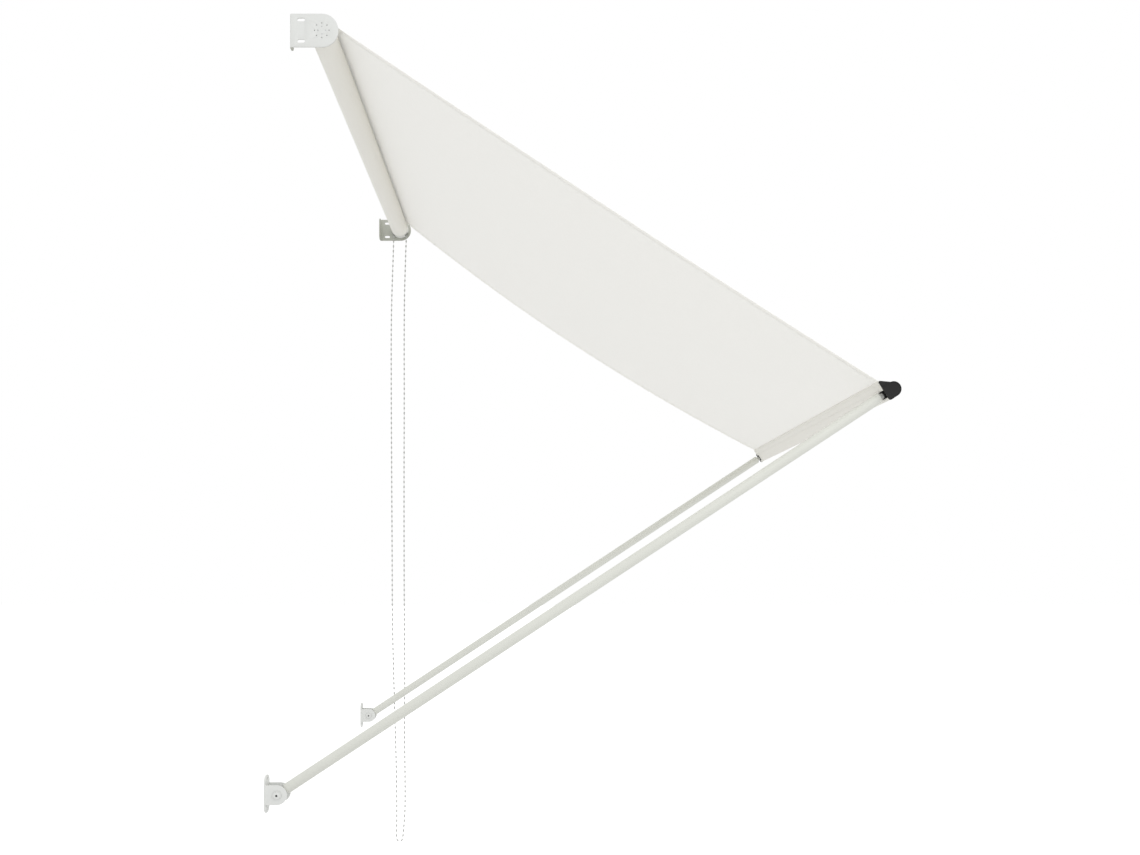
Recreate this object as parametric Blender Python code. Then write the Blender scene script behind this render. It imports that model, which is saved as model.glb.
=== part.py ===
# Drop-arm canvas awning: two wall brackets carry a roller with the wound canvas, and two
# arms on lower wall brackets hold out the front bar. A ball chain turns the roller.
# Metres, +Z up. X runs along the width and the awning reaches out towards -Y. The origin
# is the middle of the left top bracket's wall face, which lies in the plane Y = 0. The
# lower brackets' wall faces lie a step further back, at Y = WALL_STEP.

import math

import bmesh
import bpy
from mathutils import Vector

# overall
WIDTH = 1.000                  # outer face to outer face of the top brackets
AXIS_OUT = 0.065               # upper wall face to roller axis
WALL_STEP = 0.056              # lower wall face behind the upper one
PIVOT_DROP = 1.549             # roller axis to arm pivots, downwards
PIVOT_OUT = 0.027              # lower wall face to arm pivots
ARM_LENGTH = 1.500             # arm pivot to front bar centre
ARM_RISE = math.radians(33.4)  # arm above the horizontal, canopy out
GAP = 0.0003                   # between pieces that touch
OVERCUT = 0.001                # how far a cutter reaches past what it cuts
CHAMFER = 0.001
SMALLEST_CORNER = 0.0002

# top brackets, bent from sheet
SHEET = 0.0025
BRACKET_HEIGHT = 0.067
FLANGE_WIDTH = 0.022
FLANGE_CORNER = 0.012
BEND_RADIUS = 0.0045
WALL_HOLE = 0.0055
WALL_HOLE_SPACING = 0.040
SLOT_LENGTH = 0.016
SLOT_WIDTH = 0.007
SLOT_SPACING = 0.043
SLOT_FROM_AXIS = 0.0420
RING_HOLE = 0.0024
OUTER_RING = 0.0147
OUTER_RING_HOLES = 8
INNER_RING = 0.0078
INNER_RING_HOLES = 4

# idler end, on the left
PIN_PLATE = 0.038
PIN_PLATE_THICK = 0.0025
PIN = 0.0080
PIN_REACH = 0.030
BUSH_WALL = 0.0016
IDLER_BUSH = 0.024
SCREW_SHANK = 0.0018
SCREW_HEAD = 0.0046
SCREW_HEAD_THICK = 0.0014
FLAT_HEAD_THICK = 0.0008
PLUG_FLANGE_THICK = 0.0022
PLUG_DEPTH = 0.030
PLUG_PLAY = 0.0003
PLUG_EDGE = 0.0008
PLUG_LEAD = 0.002

# roller
TUBE = 0.050
TUBE_WALL = 0.0015
GROOVE_BORE = 0.0062
GROOVE_WALL = 0.0012
GROOVE_SLOT = 0.0018
GROOVE_ANGLE = math.radians(40)
KEDER = 0.0050
CANVAS = 0.0006
ROLL_TURNS = 1
ROLL_STEP = 0.6                # degrees left open where the outer turn lifts off

# drive end, on the right
CHAIN = 0.0045
CHAIN_FROM_FACE = 0.011
WHEEL_PITCH = 0.040
WHEEL_FLANGE = 0.0016
WHEEL_RIM = 0.0012
POCKET = 0.0064
POCKETS = 8
SPINDLE = 0.012
SPINDLE_REACH = 0.042
SPINDLE_PLATE_EDGE = 0.0012
SLEEVE_FLATS = 0.0215
SLEEVE_LENGTH = 0.024
SPRING_WIRE = 0.0011
SPRING_TURNS = 7
SPRING_SHOULDER = 0.0012
HOUSING = 0.0524
HOUSING_WALL = 0.0015
HOUSING_MOUTH = 0.0072
CHAIN_DROP = 1.955
CHAIN_STEP = 0.066
CHAIN_TURN_STEP = 0.0034
CHAIN_TURN_ZONE = 0.022

# arms and their lower brackets
ARM_INSET = 0.026
ARM_TUBE = 0.022
ARM_WALL = 0.0012
FOOT_START = 0.019
TONGUE = 0.0185
TONGUE_END = 0.012
TONGUE_HEIGHT = 0.012
TONGUE_LAP = 0.003             # how far the spigot runs back into the tongue
SPIGOT = 0.036
TIP_SHOULDER = 0.0012
LOWER_PLATE_HEIGHT = 0.078
LOWER_PLATE_CORNER = 0.014
LOWER_SHEET = 0.003
EAR_HEIGHT = 0.040
LOWER_HOLE = 0.0070
LOWER_HOLE_SPACING = 0.060
PIVOT_BOLT = 0.0080
BOLT_HEAD = 0.0150
BOLT_HEAD_THICK = 0.0028
BOLT_SOCKET = 0.0040
BOLT_SOCKET_DEPTH = 0.0036
BOLT_PAST_NUT = 0.0015
WASHER = 0.0180
WASHER_THICK = 0.0016
NUT_FLATS = 0.0130
NUT_THICK = 0.0065
ARM_SCREW = 0.0034
ARM_SCREW_HEAD = 0.0070
ARM_SCREW_HEAD_THICK = 0.0016
ARM_SCREW_TIP = 0.002

# front bar and its end caps
BAR_RADIUS = 0.0142
BAR_BACK = 0.0170
BAR_TOP = 0.0290
BAR_CORNER = 0.0025
BAR_WALL = 0.0016
CAP_LIP = 0.0012
CAP_INSET = {"left": 0.0059, "right": 0.0170}
CAP_FACE = 0.003
CAP_RIM = 0.0016
CAP_DISH = 0.0007
CAP_WING = 0.0015
CAP_PLUG = 0.025
NECK = 0.0120
NECK_SHOWN = 0.009
NECK_SOCKET = 0.010
COLLAR_WALL = 0.0025

# canopy hang
SAG_LEFT = 0.005
SAG_RIGHT = 0.034

# values worked out from the sizes above
LEFT = -FLANGE_WIDTH / 2
RIGHT = LEFT + WIDTH
END_RADIUS = BRACKET_HEIGHT / 2
ROLLER = Vector((0.0, -AXIS_OUT, 0.0))
PIVOT = Vector((0.0, WALL_STEP - PIVOT_OUT, -PIVOT_DROP))
ARM_CAP_BACK = BAR_BACK + CAP_LIP
ARM_TUBE_END = ARM_LENGTH - ARM_CAP_BACK - NECK_SHOWN
CAP_DEPTH = CAP_FACE + CAP_WING
COLLAR = NECK / 2 + COLLAR_WALL
CANVAS_LOW = LEFT + CAP_INSET["left"] + CAP_DEPTH + 2 * GAP
CANVAS_HIGH = RIGHT - CAP_INSET["right"] - CAP_DEPTH - 2 * GAP
EAR_GAP = TONGUE + 2 * WASHER_THICK + 4 * GAP
LOWER_PLATE_WIDTH = EAR_GAP + 2 * LOWER_SHEET + 2 * GAP
ROLL_INNER = TUBE / 2 + GAP
ROLL_OUTER = ROLL_INNER + ROLL_TURNS * CANVAS
TUBE_START = SHEET + GAP + PIN_PLATE_THICK + GAP + SCREW_HEAD_THICK + 4 * GAP + PLUG_FLANGE_THICK + GAP
WHEEL_HALF = CHAIN / 2 + GAP + WHEEL_FLANGE
HOUSING_DEPTH = CHAIN_FROM_FACE + WHEEL_HALF + 2 * GAP + HOUSING_WALL
TUBE_STOP = HOUSING_DEPTH + 2 * GAP + PLUG_FLANGE_THICK + GAP
SIDES = {"left": 1, "right": -1}


def face_x(side, inset):
    """World X of a plane that lies inset from the outer face of one side."""
    start = LEFT if side == "left" else RIGHT
    return start + SIDES[side] * inset


def clear_scene():
    for item in list(bpy.data.objects):
        bpy.data.objects.remove(item, do_unlink=True)


def make_material(name, colour, roughness, metallic=0.0):
    made = bpy.data.materials.new(name)
    made.use_nodes = True
    shader = made.node_tree.nodes["Principled BSDF"]
    shader.inputs["Base Color"].default_value = (*colour, 1.0)
    shader.inputs["Roughness"].default_value = roughness
    shader.inputs["Metallic"].default_value = metallic
    return made


def add_object(name, bm, finish=None):
    bmesh.ops.recalc_face_normals(bm, faces=bm.faces)
    mesh = bpy.data.meshes.new(name)
    bm.to_mesh(mesh)
    bm.free()
    mesh.shade_smooth()
    mesh.set_sharp_from_angle(angle=math.radians(35))
    item = bpy.data.objects.new(name, mesh)
    bpy.context.scene.collection.objects.link(item)
    if finish:
        mesh.materials.append(make_material(name, *finish))
    return item


def add_empty(name, place, turn=0.0):
    empty = bpy.data.objects.new(name, None)
    empty.location = place
    empty.rotation_euler = (turn, 0.0, 0.0)
    bpy.context.scene.collection.objects.link(empty)
    return empty


def arc(centre, radius, start, stop, steps):
    """Points along an arc in a plane, angles in degrees."""
    points = []
    for index in range(steps + 1):
        angle = math.radians(start + (stop - start) * index / steps)
        points.append((centre[0] + radius * math.cos(angle), centre[1] + radius * math.sin(angle)))
    return points


def rounded_hull(circles, grow, count=56):
    """Outline of a band pulled tight round some circles, each moved outwards by grow."""
    points = []
    for index in range(count):
        angle = 2 * math.pi * (index + 0.5) / count
        normal = (math.cos(angle), math.sin(angle))
        best = max(circles, key=lambda c: c[0] * normal[0] + c[1] * normal[1] + c[2])
        radius = max(best[2] + grow, SMALLEST_CORNER)
        points.append((best[0] + radius * normal[0], best[1] + radius * normal[1]))
    return points


def rounded_box(low, high, radius, steps=6):
    """Rectangle outline with round corners."""
    points = []
    for (a, b), start in (((high[0], high[1]), 0), ((low[0], high[1]), 90),
                          ((low[0], low[1]), 180), ((high[0], low[1]), 270)):
        centre = (a - math.copysign(radius, a - (low[0] + high[0]) / 2),
                  b - math.copysign(radius, b - (low[1] + high[1]) / 2))
        points += arc(centre, radius, start, start + 90, steps)
    return points


def circle(centre, radius, steps=32):
    return arc(centre, radius, 0, 360, steps)[:-1]


def prism(bm, outline, low, high, along="x"):
    """Closed prism from a flat outline. The outline's two numbers are (y, z) along x,
    (x, z) along y and (x, y) along z."""
    def place(point, height):
        if along == "x":
            return (height, point[0], point[1])
        if along == "y":
            return (point[0], height, point[1])
        return (point[0], point[1], height)

    near = [bm.verts.new(place(point, low)) for point in outline]
    far = [bm.verts.new(place(point, high)) for point in outline]
    bm.faces.new(near)
    bm.faces.new(list(reversed(far)))
    count = len(outline)
    for index in range(count):
        after = (index + 1) % count
        bm.faces.new((near[index], near[after], far[after], far[index]))
    return bm


def ring_prism(bm, outer, inner, low, high):
    """Hollow prism along x between two outlines with equal point counts."""
    rings = []
    for outline in (outer, inner):
        for height in (low, high):
            rings.append([bm.verts.new((height, point[0], point[1])) for point in outline])
    outer_low, outer_high, inner_low, inner_high = rings
    count = len(outer)
    for index in range(count):
        after = (index + 1) % count
        bm.faces.new((outer_low[index], outer_low[after], outer_high[after], outer_high[index]))
        bm.faces.new((inner_low[after], inner_low[index], inner_high[index], inner_high[after]))
        bm.faces.new((outer_low[after], outer_low[index], inner_low[index], inner_low[after]))
        bm.faces.new((outer_high[index], outer_high[after], inner_high[after], inner_high[index]))
    return bm


def turned(bm, profile, steps=48, centre=(0.0, 0.0)):
    """Solid turned about an axis along x from (x, radius) points. A profile that starts and
    ends at radius 0 gives a solid with flat ends, and any other closes on itself as a ring."""
    solid = profile[0][1] == 0.0
    if solid:
        profile = profile[1:-1]
    rings = []
    for x, radius in profile:
        ring = []
        for index in range(steps):
            angle = 2 * math.pi * (index + 0.5) / steps
            ring.append(bm.verts.new((x, centre[0] + radius * math.cos(angle),
                                      centre[1] + radius * math.sin(angle))))
        rings.append(ring)
    pairs = list(zip(rings, rings[1:]))
    if solid:
        bm.faces.new(rings[0])
        bm.faces.new(list(reversed(rings[-1])))
    else:
        pairs.append((rings[-1], rings[0]))
    for first, second in pairs:
        for step in range(steps):
            after = (step + 1) % steps
            bm.faces.new((first[step], second[step], second[after], first[after]))
    return bm


def rod(bm, low, high, radius, steps=32, centre=(0.0, 0.0)):
    return turned(bm, [(low, 0.0), (low, radius), (high, radius), (high, 0.0)], steps, centre)


def combine(item, others, operation="DIFFERENCE"):
    """Cut or join other objects into item, and remove them."""
    for other in others:
        step = item.modifiers.new("combine", "BOOLEAN")
        step.operation = operation
        step.solver = "EXACT"
        step.object = other
        other.display_type = "WIRE"
        other.hide_render = True
    bpy.context.view_layer.update()
    shaped = bpy.data.meshes.new_from_object(item.evaluated_get(bpy.context.evaluated_depsgraph_get()))
    old = item.data
    item.modifiers.clear()
    item.data = shaped
    shaped.name = item.name
    bpy.data.meshes.remove(old)
    for other in others:
        bpy.data.objects.remove(other, do_unlink=True)
    tidy_mesh(item)
    return item


def tidy_mesh(item):
    bm = bmesh.new()
    bm.from_mesh(item.data)
    bmesh.ops.remove_doubles(bm, verts=bm.verts, dist=1e-7)
    bm.to_mesh(item.data)
    bm.free()
    item.data.shade_smooth()
    item.data.set_sharp_from_angle(angle=math.radians(35))


def tool(shape, *args, **options):
    """A helper object for cutting or joining, made by one of the shape functions."""
    bm = bmesh.new()
    shape(bm, *args, **options)
    return add_object("tool", bm)


def under(parent, *items):
    for item in items:
        item.parent = parent


POWDER_WHITE = ((0.78, 0.79, 0.76), 0.42)
TUBE_WHITE = ((0.71, 0.72, 0.67), 0.38, 0.0)
CANVAS_WHITE = ((0.82, 0.81, 0.77), 0.85)
BLACK_PLASTIC = ((0.035, 0.035, 0.035), 0.45)
GREY_PLASTIC = ((0.42, 0.42, 0.40), 0.5)
WHITE_PLASTIC = ((0.75, 0.75, 0.72), 0.4)
ZINC = ((0.62, 0.63, 0.64), 0.32, 1.0)
NYLON = ((0.70, 0.70, 0.66), 0.5)


# top brackets: a side plate with a round end, bent into a short wall flange

def top_bracket(side):
    turn = SIDES[side]
    outer = face_x(side, 0.0)
    half = BRACKET_HEIGHT / 2
    end = -(AXIS_OUT + END_RADIUS)
    bend_inner = BEND_RADIUS - SHEET
    bend = (outer + turn * BEND_RADIUS, -BEND_RADIUS)
    outside = arc(bend, BEND_RADIUS, 180, 90, 6)
    inside = arc(bend, bend_inner, 90, 180, 6)
    if side == "right":
        outside = arc(bend, BEND_RADIUS, 0, 90, 6)
        inside = arc(bend, bend_inner, 90, 0, 6)
    flange_end = outer + turn * FLANGE_WIDTH
    angle_outline = [(outer, end)] + outside + [(flange_end, 0.0), (flange_end, -SHEET)]
    angle_outline += inside + [(outer + turn * SHEET, end)]
    bm = prism(bmesh.new(), angle_outline, -half, half, "z")
    item = add_object("top_bracket_" + side, bm, POWDER_WHITE)

    margin = 0.01
    through_low = min(outer, outer + turn * SHEET) - margin / 2
    through_high = max(outer, outer + turn * SHEET) + margin / 2
    nose = arc((-AXIS_OUT, 0.0), END_RADIUS, 90, 270, 39)
    nose += [(-AXIS_OUT, -half - margin), (end - margin, -half - margin), (end - margin, half + margin),
             (-AXIS_OUT, half + margin)]
    corners = [tool(prism, nose, through_low, through_high, "x")]
    for sign in (1, -1):
        centre = (flange_end - turn * FLANGE_CORNER, half - FLANGE_CORNER)
        bend_start = 0 if side == "left" else 180
        turned_corner = [(x, sign * z) for x, z in arc(centre, FLANGE_CORNER, bend_start, 90, 8)]
        turned_corner += [(centre[0], sign * (half + margin)), (flange_end + turn * margin, sign * (half + margin)),
                          (flange_end + turn * margin, sign * centre[1])]
        corners.append(tool(prism, turned_corner, -BEND_RADIUS - margin, margin, "y"))
    combine(item, corners)

    cutters = []
    slot_y = -AXIS_OUT + SLOT_FROM_AXIS
    for sign in (1, -1):
        slot_z = sign * SLOT_SPACING / 2
        low = (slot_y - SLOT_LENGTH / 2, slot_z - SLOT_WIDTH / 2)
        high = (slot_y + SLOT_LENGTH / 2, slot_z + SLOT_WIDTH / 2)
        outline = rounded_box(low, high, SLOT_WIDTH / 2 - 1e-5, 8)
        cutters.append(tool(prism, outline, through_low, through_high, "x"))
        hole = circle((outer + turn * FLANGE_WIDTH * 0.6, sign * WALL_HOLE_SPACING / 2), WALL_HOLE / 2, 20)
        cutters.append(tool(prism, hole, -margin, margin, "y"))
    for radius, count in ((OUTER_RING, OUTER_RING_HOLES), (INNER_RING, INNER_RING_HOLES)):
        for index in range(count):
            angle = 2 * math.pi * index / count
            centre = (-AXIS_OUT + radius * math.cos(angle), radius * math.sin(angle))
            cutters.append(tool(prism, circle(centre, RING_HOLE / 2, 10), through_low, through_high, "x"))
    return combine(item, cutters)


# idler: a pin on a round plate, screwed to the bracket from inside

def idler_pin():
    low = face_x("left", SHEET + GAP)
    face = low + PIN_PLATE_THICK
    tip = face + PIN_REACH
    profile = [(low, 0.0), (low, PIN_PLATE / 2), (face, PIN_PLATE / 2), (face, PIN / 2),
               (tip - CHAMFER, PIN / 2), (tip, PIN / 2 - CHAMFER), (tip, 0.0)]
    bm = turned(bmesh.new(), profile, 40, (-AXIS_OUT, 0.0))
    item = add_object("idler_pin", bm, ZINC)
    holes = []
    for centre in inner_ring_places():
        holes.append(tool(rod, low - OVERCUT, face + OVERCUT, SCREW_SHANK / 2 + GAP, 12, centre))
    return combine(item, holes)


def inner_ring_places():
    places = []
    for index in range(INNER_RING_HOLES):
        angle = 2 * math.pi * index / INNER_RING_HOLES
        places.append((-AXIS_OUT + INNER_RING * math.cos(angle), INNER_RING * math.sin(angle)))
    return places


def fixing_screws(name, side, places, head_thick):
    """Small pan-head screws that hold an end fitting to its bracket from inside."""
    turn = SIDES[side]
    start = face_x(side, GAP)
    seat = face_x(side, SHEET + GAP + PIN_PLATE_THICK + GAP)
    top = seat + turn * head_thick
    bevel = head_thick * 0.4
    for number, centre in enumerate(places, 1):
        profile = [(start, 0.0), (start, SCREW_SHANK / 2), (seat, SCREW_SHANK / 2), (seat, SCREW_HEAD / 2),
                   (top - turn * bevel, SCREW_HEAD / 2), (top, SCREW_HEAD / 2 - bevel), (top, 0.0)]
        add_object(f"{name}_{number}", turned(bmesh.new(), profile, 8, centre), ZINC)


def end_plug(name, side, flange_inset, bore_outline, finish):
    """Moulded plug in the roller tube: a flange over the tube's end and a body inside it."""
    turn = SIDES[side]
    outer = face_x(side, flange_inset)
    seat = outer + turn * PLUG_FLANGE_THICK
    tip = seat + turn * PLUG_DEPTH
    body = TUBE / 2 - TUBE_WALL - PLUG_PLAY
    profile = [(outer, 0.0), (outer, TUBE / 2 - PLUG_EDGE), (outer + turn * PLUG_EDGE, TUBE / 2),
               (seat, TUBE / 2), (seat, body), (tip - turn * PLUG_LEAD, body), (tip, body - PLUG_LEAD), (tip, 0.0)]
    bm = turned(bmesh.new(), profile, 40)
    item = add_object(name, bm, finish)
    low = min(outer, tip) - OVERCUT
    high = max(outer, tip) + OVERCUT
    bore = tool(prism, bore_outline, low, high, "x")
    notch_low = min(seat - turn * GAP, tip + turn * OVERCUT)
    notch_high = max(seat - turn * GAP, tip + turn * OVERCUT)
    notch = tool(rod, notch_low, notch_high, GROOVE_BORE / 2 + GROOVE_WALL + GAP, 24, groove_centre())
    return combine(item, [bore, notch])


def groove_centre():
    """Middle of the tube's canvas groove, seen from the roller axis."""
    reach = TUBE / 2 - GROOVE_WALL - GROOVE_BORE / 2
    return (reach * math.cos(GROOVE_ANGLE), reach * math.sin(GROOVE_ANGLE))


def roller_tube():
    low = face_x("left", TUBE_START)
    high = face_x("right", TUBE_STOP)
    profile = [(low, TUBE / 2 - TUBE_WALL), (low, TUBE / 2), (high, TUBE / 2), (high, TUBE / 2 - TUBE_WALL)]
    item = add_object("roller_tube", turned(bmesh.new(), profile, 48), TUBE_WHITE)
    centre = groove_centre()
    lining = tool(rod, low, high, GROOVE_BORE / 2 + GROOVE_WALL, 24, centre)
    trim = tool(rod, low - OVERCUT, high + OVERCUT, TUBE / 2 - GAP / 3, 48)
    combine(lining, [trim], "INTERSECT")
    combine(item, [lining], "UNION")
    bore = tool(rod, low - OVERCUT, high + OVERCUT, GROOVE_BORE / 2, 20, centre)
    side = (-math.sin(GROOVE_ANGLE), math.cos(GROOVE_ANGLE))
    out = (math.cos(GROOVE_ANGLE), math.sin(GROOVE_ANGLE))
    outline = []
    for across, along in ((-1, 0.0), (-1, TUBE), (1, TUBE), (1, 0.0)):
        outline.append((centre[0] + across * side[0] * GROOVE_SLOT / 2 + out[0] * along,
                        centre[1] + across * side[1] * GROOVE_SLOT / 2 + out[1] * along))
    slot = tool(prism, outline, low - OVERCUT, high + OVERCUT, "x")
    return combine(item, [bore, slot])


def keder_rod():
    """Cord that locks the canvas in the tube's groove."""
    bm = rod(bmesh.new(), CANVAS_LOW, CANVAS_HIGH, KEDER / 2, 16, groove_centre())
    return add_object("keder_rod", bm, WHITE_PLASTIC)


def canopy_line():
    """Canvas path seen from the side: lift-off normal, start and end, in (y, z)."""
    corner = bar_circles()[2]
    end_u = corner[0]
    end_v = corner[1]
    reach = corner[2] + GAP + CANVAS
    end = arm_to_world(end_u - reach * 0.35, end_v + reach * 0.94)
    start = Vector((-AXIS_OUT, 0.0))
    chord = end - start
    lift = ROLL_OUTER + GAP
    lean = math.asin(lift / chord.length)
    heading = math.atan2(chord.y, -chord.x) - lean
    normal = Vector((math.sin(heading), math.cos(heading)))
    first = start + normal * lift
    return normal, first, end


def arm_to_world(u, v):
    """World (y, z) of a point given along the arm and square to it, from the bar centre."""
    along = Vector((-math.cos(ARM_RISE), math.sin(ARM_RISE)))
    across = Vector((math.sin(ARM_RISE), math.cos(ARM_RISE)))
    place = Vector((PIVOT.y, PIVOT.z)) + along * (ARM_LENGTH + u) + across * v
    return place


def canopy_roll():
    """Turns of canvas left on the tube, with a step where the outer turn lifts off."""
    normal = canopy_line()[0]
    start = math.atan2(normal.y, normal.x)
    steps = 72
    outer = []
    inner = []
    for index in range(steps):
        share = index / (steps - 1)
        angle = start - math.radians(ROLL_STEP) - share * math.radians(360 - ROLL_STEP)
        radius = ROLL_OUTER + CANVAS * (1 - share)
        outer.append((radius * math.cos(angle), radius * math.sin(angle)))
        inner.append((ROLL_INNER * math.cos(angle), ROLL_INNER * math.sin(angle)))
    bm = ring_prism(bmesh.new(), outer, inner, CANVAS_LOW, CANVAS_HIGH)
    return add_object("canopy_roll", bm, CANVAS_WHITE)


def canopy_panel():
    """Canvas from the roller to the front bar. It hangs slack towards the chain side."""
    normal, first, end = canopy_line()
    columns = 12
    rows = 30
    lift = ROLL_OUTER + GAP
    middle = Vector((-AXIS_OUT, 0.0))
    sheets = []
    for column in range(columns + 1):
        share = column / columns
        sag = SAG_LEFT + (SAG_RIGHT - SAG_LEFT) * share ** 1.4
        line = []
        for row in range(rows + 1):
            part = row / rows
            point = first + (end - first) * part - normal * sag * 4 * part * (1 - part)
            if (point - middle).length < lift:
                point = middle + (point - middle).normalized() * lift
            line.append(point)
        under_side = []
        over_side = []
        for row in range(rows + 1):
            before = line[max(row - 1, 0)]
            after = line[min(row + 1, rows)]
            tangent = (after - before).normalized()
            up = Vector((tangent.y, -tangent.x))
            if up.dot(normal) < 0:
                up = -up
            under_side.append(line[row])
            over_side.append(line[row] + up * CANVAS)
        sheets.append((CANVAS_LOW + (CANVAS_HIGH - CANVAS_LOW) * share, under_side, over_side))
    bm = bmesh.new()
    grid = []
    for x, under_side, over_side in sheets:
        lower = [bm.verts.new((x, point.x, point.y)) for point in under_side]
        upper = [bm.verts.new((x, point.x, point.y)) for point in over_side]
        grid.append((lower, upper))
    for column in range(columns):
        for row in range(rows):
            for layer in (0, 1):
                here = grid[column][layer]
                there = grid[column + 1][layer]
                bm.faces.new((here[row], here[row + 1], there[row + 1], there[row]))
        for row in (0, rows):
            lower, upper = grid[column]
            next_lower, next_upper = grid[column + 1]
            bm.faces.new((lower[row], next_lower[row], next_upper[row], upper[row]))
    for column in (0, columns):
        lower, upper = grid[column]
        for row in range(rows):
            bm.faces.new((lower[row], lower[row + 1], upper[row + 1], upper[row]))
    return add_object("canopy_panel", bm, CANVAS_WHITE)


# drive: a chain wheel on a fixed spindle, with a wrap spring as brake, in an open-backed cup

def wheel_side(offset):
    """World X of a plane beside the chain's plane, offset towards the roller."""
    return face_x("right", CHAIN_FROM_FACE + offset)


def chain_wheel():
    pitch = WHEEL_PITCH / 2
    root = pitch - CHAIN / 2 - GAP
    rim = pitch + WHEEL_RIM
    groove = CHAIN / 2 + GAP
    back = wheel_side(-WHEEL_HALF)
    front = wheel_side(WHEEL_HALF)
    profile = [(back, 0.0), (back, rim), (wheel_side(-groove), rim), (wheel_side(-groove), root),
               (wheel_side(groove), root), (wheel_side(groove), rim), (front, rim), (front, 0.0)]
    item = add_object("chain_wheel", turned(bmesh.new(), profile, 48), WHITE_PLASTIC)
    sleeve_end = front - SLEEVE_LENGTH - HOUSING_WALL
    flats = SLEEVE_FLATS / 2 / math.cos(math.radians(30))
    sleeve = tool(prism, circle((0.0, 0.0), flats, 6), sleeve_end, front + OVERCUT, "x")
    combine(item, [sleeve], "UNION")
    cutters = [tool(rod, sleeve_end - OVERCUT, back + OVERCUT, SPINDLE / 2 + GAP, 32)]
    pocket_back = front - SPRING_SHOULDER
    cutters.append(tool(rod, sleeve_end - OVERCUT, pocket_back, SPINDLE / 2 + SPRING_WIRE + 3 * GAP, 32))
    for index in range(POCKETS):
        angle = 2 * math.pi * (index + 0.5) / POCKETS
        centre = (pitch * math.cos(angle), pitch * math.sin(angle))
        for low, high in ((-WHEEL_HALF - OVERCUT, -groove + GAP), (groove - GAP, WHEEL_HALF + OVERCUT)):
            ends = sorted((wheel_side(low), wheel_side(high)))
            outline = [(c[0], c[1]) for c in circle(centre, POCKET / 2, 12)]
            cutters.append(tool(prism, outline, ends[0], ends[1], "x"))
    return combine(item, cutters)


def drive_spindle():
    low = face_x("right", SHEET + GAP)
    face = low - PIN_PLATE_THICK
    tip = face - SPINDLE_REACH
    plate = INNER_RING + SCREW_HEAD / 2 + SPINDLE_PLATE_EDGE
    profile = [(low, 0.0), (low, plate), (face, plate), (face, SPINDLE / 2), (tip + CHAMFER, SPINDLE / 2),
               (tip, SPINDLE / 2 - CHAMFER), (tip, 0.0)]
    item = add_object("drive_spindle", turned(bmesh.new(), profile, 40, (-AXIS_OUT, 0.0)), GREY_PLASTIC)
    holes = []
    for centre in outer_ring_places():
        holes.append(tool(rod, face - OVERCUT, low + OVERCUT, SCREW_SHANK / 2 + GAP, 12, centre))
    return combine(item, holes)


def outer_ring_places():
    places = []
    for index in range(4):
        angle = math.pi / 4 + math.pi / 2 * index
        places.append((-AXIS_OUT + OUTER_RING * math.cos(angle), OUTER_RING * math.sin(angle)))
    return places


def brake_spring():
    """Wrap spring on the spindle, wound from round wire."""
    radius = SPINDLE / 2 + GAP + SPRING_WIRE / 2 + GAP / 2
    start = wheel_side(WHEEL_HALF) - SPRING_SHOULDER - GAP - SPRING_WIRE / 2
    length = SPRING_TURNS * (SPRING_WIRE + 2 * GAP)
    per_turn = 14
    sides = 5
    total = SPRING_TURNS * per_turn
    bm = bmesh.new()
    rings = []
    for index in range(total + 1):
        angle = 2 * math.pi * index / per_turn
        outward = Vector((0.0, math.cos(angle), math.sin(angle)))
        centre = ROLLER + outward * radius
        centre.x = start - length * index / total
        ring = []
        for side in range(sides):
            turn = 2 * math.pi * side / sides
            offset = outward * math.cos(turn) + Vector((1.0, 0.0, 0.0)) * math.sin(turn)
            ring.append(bm.verts.new(centre + offset * SPRING_WIRE / 2))
        rings.append(ring)
    for first, second in zip(rings, rings[1:]):
        for side in range(sides):
            after = (side + 1) % sides
            bm.faces.new((first[side], first[after], second[after], second[side]))
    bm.faces.new(rings[0])
    bm.faces.new(list(reversed(rings[-1])))
    return add_object("brake_spring", bm, ZINC)


def drive_housing():
    """Cup over the chain wheel, open to the bracket, with two mouths for the chain."""
    radius = HOUSING / 2
    back = face_x("right", SHEET + GAP)
    front = face_x("right", HOUSING_DEPTH)
    inside = front + HOUSING_WALL
    hole = SLEEVE_FLATS / 2 / math.cos(math.radians(30)) + 3 * GAP
    profile = [(back, radius - HOUSING_WALL), (back, radius), (front + CHAMFER, radius), (front, radius - CHAMFER),
               (front, hole), (inside, hole), (inside, radius - HOUSING_WALL)]
    bm = turned(bmesh.new(), profile, 48, (-AXIS_OUT, 0.0))
    item = add_object("drive_housing", bm, WHITE_PLASTIC)
    mouths = []
    for sign in (1, -1):
        centre = -AXIS_OUT + sign * WHEEL_PITCH / 2
        outline = [(centre - HOUSING_MOUTH / 2, -radius * 1.2), (centre + HOUSING_MOUTH / 2, -radius * 1.2),
                   (centre + HOUSING_MOUTH / 2, -radius * 0.2), (centre - HOUSING_MOUTH / 2, -radius * 0.2)]
        mouths.append(tool(prism, outline, inside + GAP, back + OVERCUT, "x"))
    return combine(item, mouths)


# ball chain: a free loop below the wheel and the stretch that rides on the wheel

CHAIN_X = face_x("right", CHAIN_FROM_FACE)
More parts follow.
